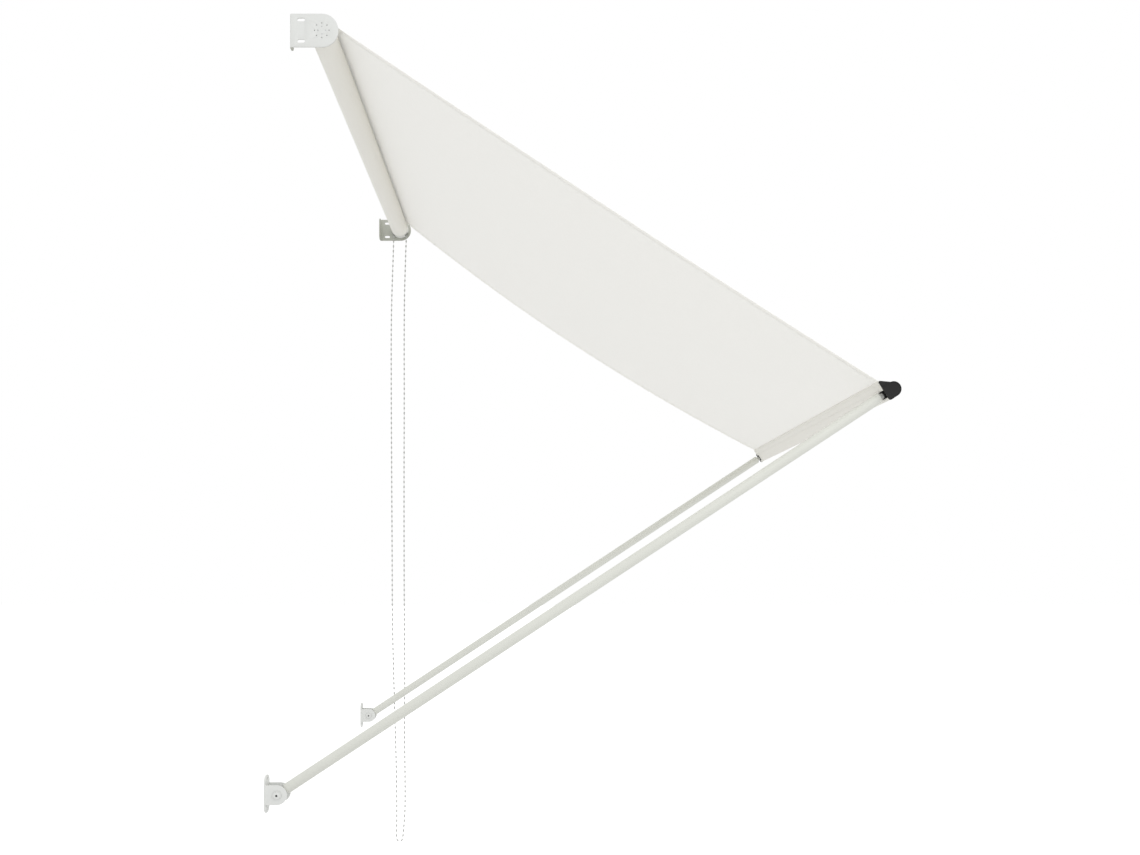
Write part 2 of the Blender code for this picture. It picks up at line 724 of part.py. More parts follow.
# depth below the roller axis, with how far the wall-side and the front strand stand from it
CHAIN_STRANDS = [(0.0, 0.0200, 0.0200), (0.03, 0.0204, 0.0196), (0.09, 0.0222, 0.0176), (0.19, 0.0256, 0.0146),
                 (0.30, 0.0280, 0.0132), (0.55, 0.0282, 0.0132), (0.80, 0.0268, 0.0126), (1.05, 0.0254, 0.0128),
                 (1.25, 0.0244, 0.0136), (1.42, 0.0206, 0.0148), (1.62, 0.0148, 0.0142), (1.75, 0.0116, 0.0158),
                 (1.85, 0.0106, 0.0156), (1.905, 0.0108, 0.0122)]
CHAIN_TURN = 0.0095            # radius of the low turn
CHAIN_TURN_BACK = 0.0014       # how far its middle stands towards the wall


def chain_route():
    """Route points of the free loop in (y, z), from the wall-side strand to the front one."""
    back = [(-AXIS_OUT + behind, -depth) for depth, behind, ahead in CHAIN_STRANDS]
    front = [(-AXIS_OUT - ahead, -depth) for depth, behind, ahead in reversed(CHAIN_STRANDS)]
    middle = (-AXIS_OUT + CHAIN_TURN_BACK, -CHAIN_DROP + CHAIN_TURN)
    return back + arc(middle, CHAIN_TURN, 0, -180, 6) + front


def smooth_points(route):
    """Points on a smooth curve through the route's points, close together round the low turn."""
    dense = []
    last = len(route) - 1
    for index in range(last):
        p0 = Vector(route[max(index - 1, 0)])
        p1 = Vector(route[index])
        p2 = Vector(route[index + 1])
        p3 = Vector(route[min(index + 2, last)])
        k0 = max((p1 - p0).length, 1e-6) ** 0.5
        k1 = max((p2 - p1).length, 1e-6) ** 0.5
        k2 = max((p3 - p2).length, 1e-6) ** 0.5
        m1 = (p2 - p1) if index == 0 else ((p1 - p0) / k0 - (p2 - p0) / (k0 + k1) + (p2 - p1) / k1) * k1
        m2 = (p2 - p1) if index == last - 1 else ((p2 - p1) / k1 - (p3 - p1) / (k1 + k2) + (p3 - p2) / k2) * k1
        for step in range(24):
            t = step / 24
            dense.append(p1 * (2 * t ** 3 - 3 * t ** 2 + 1) + m1 * (t ** 3 - 2 * t ** 2 + t)
                         + p2 * (3 * t ** 2 - 2 * t ** 3) + m2 * (t ** 3 - t ** 2))
    dense.append(Vector(route[last]))
    points = [dense[0]]
    run = 0.0
    for before, here in zip(dense, dense[1:]):
        run += (here - before).length
        step = CHAIN_TURN_STEP if here.y < -CHAIN_DROP + CHAIN_TURN_ZONE else CHAIN_STEP
        if run >= step:
            points.append(here)
            run = 0.0
    if (points[-1] - dense[-1]).length < CHAIN_TURN_STEP:
        points.pop()
    points.append(dense[-1])
    return points


def chain_tube(name, points):
    curve = bpy.data.curves.new(name, "CURVE")
    curve.dimensions = "3D"
    curve.bevel_depth = CHAIN / 2
    curve.bevel_resolution = 2
    curve.use_fill_caps = True
    spline = curve.splines.new("POLY")
    spline.points.add(len(points) - 1)
    for target, point in zip(spline.points, points):
        target.co = (CHAIN_X, point[0], point[1], 1.0)
    curve.materials.append(make_material(name, *WHITE_PLASTIC))
    item = bpy.data.objects.new(name, curve)
    bpy.context.scene.collection.objects.link(item)
    return item


def chain_pieces():
    points = smooth_points(chain_route())
    loop = chain_tube("chain_loop", points)
    wrap = arc((-AXIS_OUT, 0.0), WHEEL_PITCH / 2, 1.2, 178.8, 20)
    ride = chain_tube("chain_over_wheel", wrap)
    return loop, ride


# lower brackets: a wall plate with two ears, and the pivot between them

def lower_bracket(side):
    middle = face_x(side, ARM_INSET)
    half = LOWER_PLATE_WIDTH / 2
    tall = LOWER_PLATE_HEIGHT / 2
    outline = rounded_box((middle - half, PIVOT.z - tall), (middle + half, PIVOT.z + tall),
                          LOWER_PLATE_CORNER, 8)
    plate = prism(bmesh.new(), outline, WALL_STEP - LOWER_SHEET, WALL_STEP, "y")
    item = add_object("lower_bracket_" + side, plate, POWDER_WHITE)
    root = WALL_STEP - LOWER_SHEET / 2
    ear = [(root, PIVOT.z - EAR_HEIGHT / 2), (root, PIVOT.z + EAR_HEIGHT / 2)]
    ear += arc((PIVOT.y, PIVOT.z), EAR_HEIGHT / 2, 90, 270, 28)
    ears = []
    for sign in (-1, 1):
        inner = middle + sign * EAR_GAP / 2
        outer = inner + sign * LOWER_SHEET
        ears.append(tool(prism, ear, min(inner, outer), max(inner, outer), "x"))
    combine(item, ears, "UNION")
    bolt = circle((PIVOT.y, PIVOT.z), PIVOT_BOLT / 2 + GAP, 24)
    cutters = [tool(prism, bolt, middle - LOWER_PLATE_WIDTH, middle + LOWER_PLATE_WIDTH, "x")]
    for sign in (-1, 1):
        hole = circle((middle, PIVOT.z + sign * LOWER_HOLE_SPACING / 2), LOWER_HOLE / 2, 20)
        cutters.append(tool(prism, hole, WALL_STEP - LOWER_SHEET - OVERCUT, WALL_STEP + OVERCUT, "y"))
    return combine(item, cutters)


def pivot_hardware(side):
    """Button-head bolt with its nut and the four washers of one pivot. Heads face -X."""
    middle = face_x(side, ARM_INSET)
    centre = (PIVOT.y, PIVOT.z)
    ear_face = EAR_GAP / 2 + LOWER_SHEET
    seat = middle - ear_face - GAP - WASHER_THICK - GAP
    top = seat - BOLT_HEAD_THICK
    nut_seat = middle + ear_face + GAP + WASHER_THICK + GAP
    tip = nut_seat + NUT_THICK + BOLT_PAST_NUT
    head = [(top, 0.0), (top, BOLT_HEAD * 0.30), (top + BOLT_HEAD_THICK * 0.18, BOLT_HEAD * 0.40),
            (top + BOLT_HEAD_THICK * 0.5, BOLT_HEAD * 0.48), (seat, BOLT_HEAD / 2), (seat, PIVOT_BOLT / 2),
            (tip - CHAMFER, PIVOT_BOLT / 2), (tip, PIVOT_BOLT / 2 - CHAMFER), (tip, 0.0)]
    bolt = add_object("pivot_bolt_" + side, turned(bmesh.new(), head, 32, centre), POWDER_WHITE)
    socket_radius = BOLT_SOCKET / 2 / math.cos(math.radians(30))
    hexagon = [(centre[0] + p[0], centre[1] + p[1]) for p in circle((0.0, 0.0), socket_radius, 6)]
    combine(bolt, [tool(prism, hexagon, top - OVERCUT, top + BOLT_SOCKET_DEPTH, "x")])

    nut_radius = NUT_FLATS / 2 / math.cos(math.radians(30))
    nut_outline = [(centre[0] + p[0], centre[1] + p[1]) for p in circle((0.0, 0.0), nut_radius, 6)]
    nut = add_object("pivot_nut_" + side,
                     prism(bmesh.new(), nut_outline, nut_seat, nut_seat + NUT_THICK, "x"), ZINC)
    combine(nut, [tool(rod, nut_seat - OVERCUT, nut_seat + NUT_THICK + OVERCUT, PIVOT_BOLT / 2 + GAP, 24, centre)])

    bore = PIVOT_BOLT / 2 + GAP
    starts = (middle - ear_face - GAP - WASHER_THICK, middle - EAR_GAP / 2 + GAP,
              middle + EAR_GAP / 2 - GAP - WASHER_THICK, middle + ear_face + GAP)
    for number, start in enumerate(starts, 1):
        stop = start + WASHER_THICK
        profile = [(start, bore), (start, WASHER / 2), (stop, WASHER / 2), (stop, bore)]
        add_object(f"pivot_washer_{side}_{number}", turned(bmesh.new(), profile, 20, centre), POWDER_WHITE)


# arms, modelled lying along -Y from the pivot, then raised together by their empty

def arm_cylinder(bm, x, start, stop, radius, steps=32):
    """Rod along the arm, between two distances from the pivot."""
    low = [bm.verts.new((x + radius * math.cos(2 * math.pi * i / steps), -start,
                         radius * math.sin(2 * math.pi * i / steps))) for i in range(steps)]
    high = [bm.verts.new((x + radius * math.cos(2 * math.pi * i / steps), -stop,
                          radius * math.sin(2 * math.pi * i / steps))) for i in range(steps)]
    bm.faces.new(low)
    bm.faces.new(list(reversed(high)))
    for index in range(steps):
        after = (index + 1) % steps
        bm.faces.new((low[index], low[after], high[after], high[index]))
    return bm


def screw_places():
    return (FOOT_START + SPIGOT / 2, ARM_TUBE_END - SPIGOT / 2)


def arm_tube(side):
    x = face_x(side, ARM_INSET)
    item = add_object("arm_" + side, arm_cylinder(bmesh.new(), x, FOOT_START, ARM_TUBE_END, ARM_TUBE / 2, 40),
                      TUBE_WHITE)
    inside = tool(arm_cylinder, x, FOOT_START - OVERCUT, ARM_TUBE_END + OVERCUT, ARM_TUBE / 2 - ARM_WALL, 40)
    holes = [inside]
    for place in screw_places():
        holes.append(tool(rod, x + ARM_SCREW_TIP, x + ARM_TUBE, ARM_SCREW / 2 + GAP, 16, (-place, 0.0)))
    return combine(item, holes)


def arm_foot(side):
    """Moulded foot: a spigot in the tube and a tongue between the bracket's ears."""
    x = face_x(side, ARM_INSET)
    radius = ARM_TUBE / 2 - ARM_WALL - GAP
    stop = FOOT_START + SPIGOT
    spigot = arm_cylinder(bmesh.new(), x, FOOT_START - TONGUE_LAP, stop, radius, 32)
    item = add_object("arm_foot_" + side, spigot, GREY_PLASTIC)
    shoulder_start = FOOT_START - GAP
    half = TONGUE_HEIGHT / 2
    outline = arc((0.0, 0.0), TONGUE_END, -70, 70, 20)
    outline += [(-shoulder_start, half), (-shoulder_start, -half)]
    tongue = tool(prism, outline, x - TONGUE / 2, x + TONGUE / 2, "x")
    combine(item, [tongue], "UNION")
    bore = PIVOT_BOLT / 2 + GAP + BUSH_WALL + GAP
    cutters = [tool(rod, x - TONGUE, x + TONGUE, bore, 32)]
    place = (-screw_places()[0], 0.0)
    cutters.append(tool(rod, x + ARM_SCREW_TIP, x + ARM_TUBE, ARM_SCREW / 2 + GAP, 16, place))
    return combine(item, cutters)


def pivot_bush(side):
    x = face_x(side, ARM_INSET)
    inner = PIVOT_BOLT / 2 + GAP
    outer = inner + BUSH_WALL
    half = TONGUE / 2
    profile = [(x - half, inner), (x - half, outer), (x + half, outer), (x + half, inner)]
    return add_object("pivot_bush_" + side, turned(bmesh.new(), profile, 24), NYLON)


def arm_tip(side):
    """Plug in the arm's outer end, with a neck that goes into the end cap."""
    x = face_x(side, ARM_INSET)
    radius = ARM_TUBE / 2 - ARM_WALL - GAP
    start = ARM_TUBE_END - SPIGOT
    neck_end = ARM_LENGTH - ARM_CAP_BACK + NECK_SOCKET - GAP
    item = add_object("arm_tip_" + side, arm_cylinder(bmesh.new(), x, start, ARM_TUBE_END + TIP_SHOULDER, radius, 32),
                      GREY_PLASTIC)
    neck = tool(arm_cylinder, x, ARM_TUBE_END - SPIGOT / 2, neck_end, NECK / 2, 24)
    combine(item, [neck], "UNION")
    place = (-screw_places()[1], 0.0)
    hole = tool(rod, x + ARM_SCREW_TIP, x + ARM_TUBE, ARM_SCREW / 2 + GAP, 16, place)
    return combine(item, [hole])


def arm_screws(side):
    """Two low-head screws in the arm's +X side that hold its foot and its tip plug."""
    x = face_x(side, ARM_INSET)
    seat = x + ARM_TUBE / 2 + GAP
    top = seat + ARM_SCREW_HEAD_THICK
    tip = x + ARM_SCREW_TIP + GAP
    profile = [(tip, 0.0), (tip, ARM_SCREW / 2), (seat, ARM_SCREW / 2), (seat, ARM_SCREW_HEAD / 2),
               (seat + ARM_SCREW_HEAD_THICK / 2, ARM_SCREW_HEAD / 2), (top, ARM_SCREW_HEAD / 3), (top, 0.0)]
    screws = []
    for end, place in zip(("foot", "tip"), screw_places()):
        bm = turned(bmesh.new(), profile, 12, (-place, 0.0))
        screws.append(add_object(f"arm_screw_{side}_{end}", bm, ZINC))
    return screws


# front bar: hollow profile, round in front and flat behind, with the canvas pulled over it

def bar_circles():
    """Circles that the bar's outline is pulled round, as (along the arm, square to it, radius)."""
    back = -BAR_BACK + BAR_CORNER
    return ((0.0, 0.0, BAR_RADIUS), (back, -BAR_RADIUS + BAR_CORNER, BAR_CORNER),
            (back, BAR_TOP - BAR_CORNER, BAR_CORNER))


def bar_outline(grow, circles=None):
    """Bar outline in the arm's own (y, z), with y pointing back to the pivot."""
    points = rounded_hull(circles or bar_circles(), grow)
    return [(-ARM_LENGTH - u, v) for u, v in points]


def arm_notches(grow):
    """Cutters that open the back of the bar and its sleeve at both ends for the cap's collar."""
    half = COLLAR + grow
    outline = [(-ARM_LENGTH + BAR_BACK * 2, -half), (-ARM_LENGTH + BAR_BACK / 2, -half),
               (-ARM_LENGTH + BAR_BACK / 2, half), (-ARM_LENGTH + BAR_BACK * 2, half)]
    cutters = []
    for side in SIDES:
        ends = sorted((face_x(side, 0.0), face_x(side, ARM_INSET + half)))
        cutters.append(tool(prism, outline, ends[0], ends[1], "x"))
    return cutters


def front_bar():
    bm = ring_prism(bmesh.new(), bar_outline(0.0), bar_outline(-BAR_WALL), CANVAS_LOW - GAP, CANVAS_HIGH + GAP)
    item = add_object("front_bar", bm, TUBE_WHITE)
    return combine(item, arm_notches(GAP))


def canopy_hem():
    """Canvas hem, a sleeve round the front bar."""
    bm = ring_prism(bmesh.new(), bar_outline(GAP + CANVAS), bar_outline(GAP), CANVAS_LOW, CANVAS_HIGH)
    item = add_object("canopy_hem", bm, CANVAS_WHITE)
    return combine(item, arm_notches(2 * GAP))


def end_cap(side):
    """Black moulded cap: face plate, wing beside the hem, plug in the bar, collar for the arm."""

    def span(start, stop):
        ends = (face_x(side, CAP_INSET[side] + start), face_x(side, CAP_INSET[side] + stop))
        return min(ends), max(ends)

    lip = CAP_LIP + GAP
    back = -BAR_BACK + BAR_CORNER
    face_circles = ((0.0, 0.0, BAR_RADIUS), (back, -BAR_RADIUS + BAR_CORNER, BAR_CORNER),
                    (back, BAR_RADIUS - BAR_CORNER, BAR_CORNER))
    low, high = span(0.0, CAP_FACE)
    face = prism(bmesh.new(), bar_outline(lip, face_circles), low, high, "x")
    item = add_object("end_cap_" + side, face, BLACK_PLASTIC)
    wing_low, wing_high = span(CAP_FACE - OVERCUT, CAP_DEPTH)
    wing = tool(prism, bar_outline(0.0), wing_low, wing_high, "x")
    plug_low, plug_high = span(CAP_DEPTH - OVERCUT, CAP_DEPTH + CAP_PLUG)
    plug = tool(prism, bar_outline(-BAR_WALL - GAP), plug_low, plug_high, "x")
    socket_end = ARM_LENGTH - ARM_CAP_BACK
    x = face_x(side, ARM_INSET)
    collar = tool(arm_cylinder, x, socket_end, ARM_LENGTH, COLLAR, 28)
    combine(item, [wing, plug, collar], "UNION")
    dish_low, dish_high = span(-OVERCUT, CAP_DISH)
    dish = tool(prism, bar_outline(lip - CAP_RIM, face_circles), dish_low, dish_high, "x")
    socket = tool(arm_cylinder, x, socket_end - OVERCUT, socket_end + NECK_SOCKET, NECK / 2 + GAP, 28)
    return combine(item, [dish, socket])


def build():
    clear_scene()
    roller_axis = add_empty("roller_axis", ROLLER)
    arm_axis = add_empty("arm_axis", PIVOT, -ARM_RISE)

    for side in SIDES:
        top_bracket(side)
        lower_bracket(side)
        pivot_hardware(side)
        under(arm_axis, arm_tube(side), arm_foot(side), pivot_bush(side), arm_tip(side), end_cap(side),
              *arm_screws(side))
    idler_pin()
    fixing_screws("idler_screw", "left", inner_ring_places(), SCREW_HEAD_THICK)
    drive_spindle()
    fixing_screws("drive_screw", "right", outer_ring_places(), FLAT_HEAD_THICK)
    brake_spring()
    drive_housing()
    chain_pieces()
    canopy_panel()

    bush_outer = PIN / 2 + GAP + BUSH_WALL
    idler_bore = circle((0.0, 0.0), bush_outer + GAP, 32)
    flange_inset = TUBE_START - GAP - PLUG_FLANGE_THICK
    drive_flats = (SLEEVE_FLATS / 2 + GAP) / math.cos(math.radians(30))
    drive_inset = TUBE_STOP - GAP - PLUG_FLANGE_THICK
    bush_low = face_x("left", flange_inset)
    bush_high = bush_low + IDLER_BUSH
    bush_profile = [(bush_low, PIN / 2 + GAP), (bush_low, bush_outer), (bush_high, bush_outer),
                    (bush_high, PIN / 2 + GAP)]
    bush = add_object("idler_bush", turned(bmesh.new(), bush_profile, 24), NYLON)
    under(roller_axis, roller_tube(), keder_rod(), canopy_roll(), chain_wheel(), bush,
          end_plug("idler_plug", "left", flange_inset, idler_bore, GREY_PLASTIC),
          end_plug("drive_plug", "right", drive_inset, circle((0.0, 0.0), drive_flats, 6), GREY_PLASTIC))
    under(arm_axis, front_bar(), canopy_hem())


build()
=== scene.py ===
# Drop-arm canvas awning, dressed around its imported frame.
# Metres, +Z up. The backs of the top brackets lie in the plane Y = 0, the awning reaches out to -Y and X
# runs along its width. The backs of the lower brackets lie a step further back.

import math

import bmesh
import bpy
from mathutils import Matrix, Vector, noise


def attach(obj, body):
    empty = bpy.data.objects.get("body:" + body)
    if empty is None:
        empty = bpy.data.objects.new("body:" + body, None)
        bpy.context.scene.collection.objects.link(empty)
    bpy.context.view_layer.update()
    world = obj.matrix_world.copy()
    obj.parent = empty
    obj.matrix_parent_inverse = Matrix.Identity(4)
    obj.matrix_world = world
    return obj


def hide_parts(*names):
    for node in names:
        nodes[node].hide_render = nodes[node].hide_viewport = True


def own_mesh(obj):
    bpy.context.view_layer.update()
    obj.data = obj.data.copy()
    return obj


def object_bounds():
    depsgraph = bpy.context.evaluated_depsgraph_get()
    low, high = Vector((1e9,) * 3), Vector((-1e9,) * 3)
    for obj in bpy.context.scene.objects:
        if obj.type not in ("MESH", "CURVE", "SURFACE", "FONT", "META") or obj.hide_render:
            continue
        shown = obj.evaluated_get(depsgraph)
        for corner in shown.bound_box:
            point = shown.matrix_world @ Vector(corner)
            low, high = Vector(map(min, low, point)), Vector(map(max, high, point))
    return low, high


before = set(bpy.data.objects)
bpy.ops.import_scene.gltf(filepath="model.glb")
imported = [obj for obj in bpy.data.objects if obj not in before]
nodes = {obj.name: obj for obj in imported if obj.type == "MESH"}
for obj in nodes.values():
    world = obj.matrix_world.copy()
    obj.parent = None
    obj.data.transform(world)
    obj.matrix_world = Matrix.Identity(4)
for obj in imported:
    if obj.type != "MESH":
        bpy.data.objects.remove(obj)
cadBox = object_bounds()
scene = bpy.context.scene
print("frame loaded:", len(nodes), "nodes")

# the part's own sizes, repeated so that each piece lies where its solid does
part = {
    "left": -0.011,
    "right": 0.989,
    "axisOut": 0.065,
    "wallStep": 0.056,
    "pivotDrop": 1.549,
    "pivotOut": 0.027,
    "armLength": 1.500,
    "armRise": math.radians(33.4),
    "armFold": math.radians(50.8),
    "gap": 0.0003,
    "canvas": 0.0006,
    "tubeRadius": 0.025,
    "canvasInset": (0.0110, 0.0221),    # left and right
    "rollTurns": 1,
    "armInset": 0.026,
    "collar": 0.0085,
    "barRadius": 0.0142,
    "barBack": 0.0170,
    "barTop": 0.0290,
    "barCorner": 0.0025,
    "sagLeft": 0.005,
    "sagRight": 0.034,
    "sagPower": 1.4,                    # how the sag grows towards the right
    "hemLean": (0.35, 0.94),            # where the canvas meets the bar's corner
}
canvasLow = part["left"] + part["canvasInset"][0]
canvasHigh = part["right"] - part["canvasInset"][1]
rollerAxis = Vector((-part["axisOut"], 0.0))            # as (y, z)
pivot = Vector((part["wallStep"] - part["pivotOut"], -part["pivotDrop"]))


# camera: level, looking along the roller from beyond its near end, framed by a shift

view = {
    "place": (-1.7120, -0.4956, -1.0933),
    "lens": 26.59,
    "sensor": 36.0,
    "shift": (0.0308, 0.1262),
    "clip": (0.05, 60.0),
}


def makeCamera():
    data = bpy.data.cameras.new("camera")
    data.lens = view["lens"]
    data.sensor_width = view["sensor"]
    data.shift_x, data.shift_y = view["shift"]
    data.clip_start, data.clip_end = view["clip"]
    item = bpy.data.objects.new("camera", data)
    scene.collection.objects.link(item)
    right = Vector((0.0, -1.0, 0.0))
    up = Vector((0.0, 0.0, 1.0))
    back = Vector((-1.0, 0.0, 0.0))
    turn = Matrix((right, up, back)).transposed().to_4x4()
    item.matrix_world = Matrix.Translation(view["place"]) @ turn
    scene.camera = item


makeCamera()
print("camera set")


# shader kit: one class wraps a socket so that maths is written as plain expressions

class Wire:
    def __init__(self, finish, socket):
        self.finish = finish
        self.socket = socket

    def join(self, operation, first, second):
        return self.finish.node("ShaderNodeMath", {"operation": operation}, {0: first, 1: second})

    def __add__(self, other):
        return self.join("ADD", self, other)

    def __sub__(self, other):
        return self.join("SUBTRACT", self, other)

    def __mul__(self, other):
        return self.join("MULTIPLY", self, other)


class Finish:
    def __init__(self, name, **constants):
        self.material = bpy.data.materials.new(name)
        self.material.use_nodes = True
        self.tree = self.material.node_tree
        self.shader = self.tree.nodes["Principled BSDF"]
        for label, value in constants.items():
            self.shader.inputs[label.replace("_", " ")].default_value = value

    # any node: its settings first, then the values or links of its sockets
    def node(self, kind, settings=None, sockets=None, output=0):
        made = self.tree.nodes.new(kind)
        for label, value in (settings or {}).items():
            setattr(made, label, value)
        for key, value in (sockets or {}).items():
            if isinstance(value, Wire):
                self.tree.links.new(value.socket, made.inputs[key])
            else:
                made.inputs[key].default_value = value
        return Wire(self, made.outputs[output])

    def place(self):
        return self.node("ShaderNodeTexCoord", output="Object")

    def speckle(self, scale, detail, stretch=(1.0, 1.0, 1.0)):
        return self.grain(self.place(), scale, detail, stretch)

    def grain(self, vector, scale, detail, stretch):
        spot = self.node("ShaderNodeMapping", None, {"Vector": vector, "Scale": stretch})
        return self.node("ShaderNodeTexNoise", None,
                         {"Vector": spot, "Scale": scale, "Detail": detail}, "Fac")

    def sine(self, value):
        return self.node("ShaderNodeMath", {"operation": "SINE"}, {0: value})

    # noise lies mostly between 0.3 and 0.7, and is spread from low to high
    def between(self, share, low, high):
        return self.node("ShaderNodeMapRange", None, {"Value": share, "From Min": 0.3, "From Max": 0.7,
                                                      "To Min": low, "To Max": high})

    def over(self, value, level):
        return self.node("ShaderNodeMath", {"operation": "GREATER_THAN"}, {0: value, 1: level})

    def axis(self, vector, label):
        return self.node("ShaderNodeSeparateXYZ", None, {"Vector": vector}, label)

    def tint(self, share, first, second):
        ends = [colour if isinstance(colour, Wire) else (*colour, 1.0) for colour in (first, second)]
        return self.node("ShaderNodeMix", {"data_type": "RGBA"},
                         {"Factor": share, "A": ends[0], "B": ends[1]}, "Result")

    def feed(self, label, wire):
        self.tree.links.new(wire.socket, self.shader.inputs[label])

    def bump(self, height, depth, strength):
        self.feed("Normal", self.node("ShaderNodeBump", None, {"Height": height, "Distance": depth,
                                                               "Strength": strength}))
        return self


def shade(colour, factor):
    return tuple(min(1.0, channel * factor) for channel in colour)


# powder coat: orange-peel skin with faint cloudiness
powderFinish = {
    # bracketCoat's second, darker grey is painted shade for the top brackets' inner faces
    "bracketCoat": {"colour": (0.765, 0.776, 0.755), "rough": 0.46, "peel": 620.0, "depth": 0.00002,
                    "inside": (0.470, 0.480, 0.425), "skin": 0.0022, "above": -0.5},
    # boltCoat's near-black is painted shade in the bolts' socket recesses
    "boltCoat": {"colour": (0.765, 0.776, 0.755), "rough": 0.46, "peel": 620.0, "depth": 0.00002,
                 "socket": 0.0022, "paintedSocketShade": (0.035, 0.035, 0.035)},
    "tubeCoat": {"colour": (0.742, 0.752, 0.695), "rough": 0.42, "peel": 480.0, "depth": 0.00002},
}
powderVary = {"gloss": 0.45, "cloud": (9.0, 3.0), "tone": (0.985, 1.010), "rough": (-0.03, 0.05),
              "relief": 0.3}


def makePowder(name):
    look = powderFinish[name]
    made = Finish(name, Specular_IOR_Level=powderVary["gloss"])
    cloud = made.between(made.speckle(*powderVary["cloud"]), 0.0, 1.0)
    coat = made.tint(cloud, *(shade(look["colour"], factor) for factor in powderVary["tone"]))
    # the top brackets' inner faces get a darker grey: painted shade standing in for the shade that falls
    # there
    if "inside" in look:
        across = made.axis(made.place(), "X")
        height = made.axis(made.place(), "Z")
        inside = (made.over(across, part["left"] + look["skin"])
                  * made.over(part["right"] - look["skin"], across)
                  * made.over(height, look["above"]))
        coat = made.tint(inside, coat, look["inside"])
    # the bolts' sockets are painted near-black: painted shade in the recess
    if "socket" in look:
        out = made.axis(made.place(), "Y") - pivot.x
        up = made.axis(made.place(), "Z") - pivot.y
        coat = made.tint(made.over(out * out + up * up, look["socket"] ** 2), look["paintedSocketShade"], coat)
    made.feed("Base Color", coat)
    peel = made.speckle(look["peel"], 1.0)
    made.feed("Roughness", made.between(peel, *(look["rough"] + step for step in powderVary["rough"])))
    return made.bump(peel, look["depth"], powderVary["relief"]).material


# moulded plastic: fine spark-eroded grain
plasticFinish = {
    "blackPlastic": {"colour": (0.012, 0.012, 0.012), "rough": 0.52, "grain": 1500.0, "depth": 0.00004,
                     "gloss": 0.28},
    "greyPlastic": {"colour": (0.60, 0.605, 0.575), "rough": 0.50, "grain": 1300.0, "depth": 0.00005},
    "whitePlastic": {"colour": (0.76, 0.765, 0.735), "rough": 0.36, "grain": 1100.0, "depth": 0.00003},
    "nylon": {"colour": (0.72, 0.71, 0.66), "rough": 0.48, "grain": 900.0, "depth": 0.00003},
    "chainPlastic": {"colour": (0.50, 0.505, 0.49), "rough": 0.30, "grain": 700.0, "depth": 0.00002},
}
plasticVary = {"gloss": 0.5, "flow": (60.0, 2.0), "tone": (0.95, 1.05), "rough": (-0.04, 0.06),
               "relief": 0.6}


def makePlastic(name):
    look = plasticFinish[name]
    made = Finish(name, Specular_IOR_Level=look.get("gloss", plasticVary["gloss"]))
    flow = made.between(made.speckle(*plasticVary["flow"]), 0.0, 1.0)
    dark, light = (shade(look["colour"], factor) for factor in plasticVary["tone"])
    made.feed("Base Color", made.tint(flow, dark, light))
    grain = made.speckle(look["grain"], 1.0)
    made.feed("Roughness", made.between(grain, *(look["rough"] + step for step in plasticVary["rough"])))
    return made.bump(grain, look["depth"], plasticVary["relief"]).material


# zinc plate: brushed round the turning axis, slightly clouded
zincFinish = {
    "bright": (0.70, 0.71, 0.72),
    "dull": (0.56, 0.57, 0.59),
    "cloud": (140.0, 3.0),
    "brush": (900.0, 2.0, (6.0, 1.0, 1.0)),
    "rough": (0.24, 0.42),
    "depth": 0.00002,
    "relief": 0.4,
}


def makeZinc():
    made = Finish("zinc", Metallic=1.0)
    cloud = made.between(made.speckle(*zincFinish["cloud"]), 0.0, 1.0)
    made.feed("Base Color", made.tint(cloud, zincFinish["dull"], zincFinish["bright"]))
    brush = made.speckle(*zincFinish["brush"])
    made.feed("Roughness", made.between(brush, *zincFinish["rough"]))
    return made.bump(brush, zincFinish["depth"], zincFinish["relief"]).material


# woven canvas: plain weave read from the cloth's own measure, with slubs, and some light passing through
canvasFinish = {
    "light": (0.885, 0.871, 0.812),
    "dark": (0.861, 0.847, 0.787),
    "yarn": 0.0011,
    "depth": 0.00016,
    "gloss": 0.25,
    "sheen": (0.12, 0.5),              # weight and roughness
    "rough": (0.82, 0.95),
    "slub": (40.0, 700.0),             # noise along a yarn and across it
    "height": (0.5, 0.35),             # share of weave and slubs in the relief
    "relief": 0.45,
    "throughDepth": 0.003,
    "through": {"canvas": 0.66, "backedCanvas": 0.08},    # light let through, less where it lies on a part
}


def makeCanvas(name):
    look = canvasFinish
    made = Finish(name, Specular_IOR_Level=look["gloss"],
                  Sheen_Weight=look["sheen"][0], Sheen_Roughness=look["sheen"][1],
                  Subsurface_Weight=look["through"][name], Subsurface_Scale=look["throughDepth"],
                  Subsurface_Radius=(1.0, 1.0, 1.0))
    measure = made.node("ShaderNodeAttribute", {"attribute_name": "weave"}, output="Vector")
    turns = math.pi / look["yarn"]
    weave = made.sine(made.axis(measure, "X") * turns) * made.sine(made.axis(measure, "Y") * turns)
    along, across = look["slub"]
    slub = made.grain(measure, 1.0, 1.0, (along, across, 1.0))
    pick = made.grain(measure, 1.0, 1.0, (across, along, 1.0))
    tone = made.between((slub + pick) * 0.5, 0.0, 1.0)
    made.feed("Base Color", made.tint(tone, look["dark"], look["light"]))
    made.feed("Roughness", made.between(slub, *look["rough"]))
    height = weave * look["height"][0] + (slub + pick) * look["height"][1]
    return made.bump(height, look["depth"], look["relief"]).material


threadFinish = {
    "colour": (0.80, 0.79, 0.75),
    "dark": 0.92,
    "sheen": 0.2,
    "rough": (0.7, 0.85),
    "twist": 2400.0,
    "depth": 0.00008,
    "relief": 0.6,
}


def makeThread():
    made = Finish("thread", Sheen_Weight=threadFinish["sheen"])
    twist = made.speckle(threadFinish["twist"], 1.0)
    dark = shade(threadFinish["colour"], threadFinish["dark"])
    made.feed("Base Color", made.tint(made.between(twist, 0.0, 1.0), dark, threadFinish["colour"]))
    made.feed("Roughness", made.between(twist, *threadFinish["rough"]))
    return made.bump(twist, threadFinish["depth"], threadFinish["relief"]).material


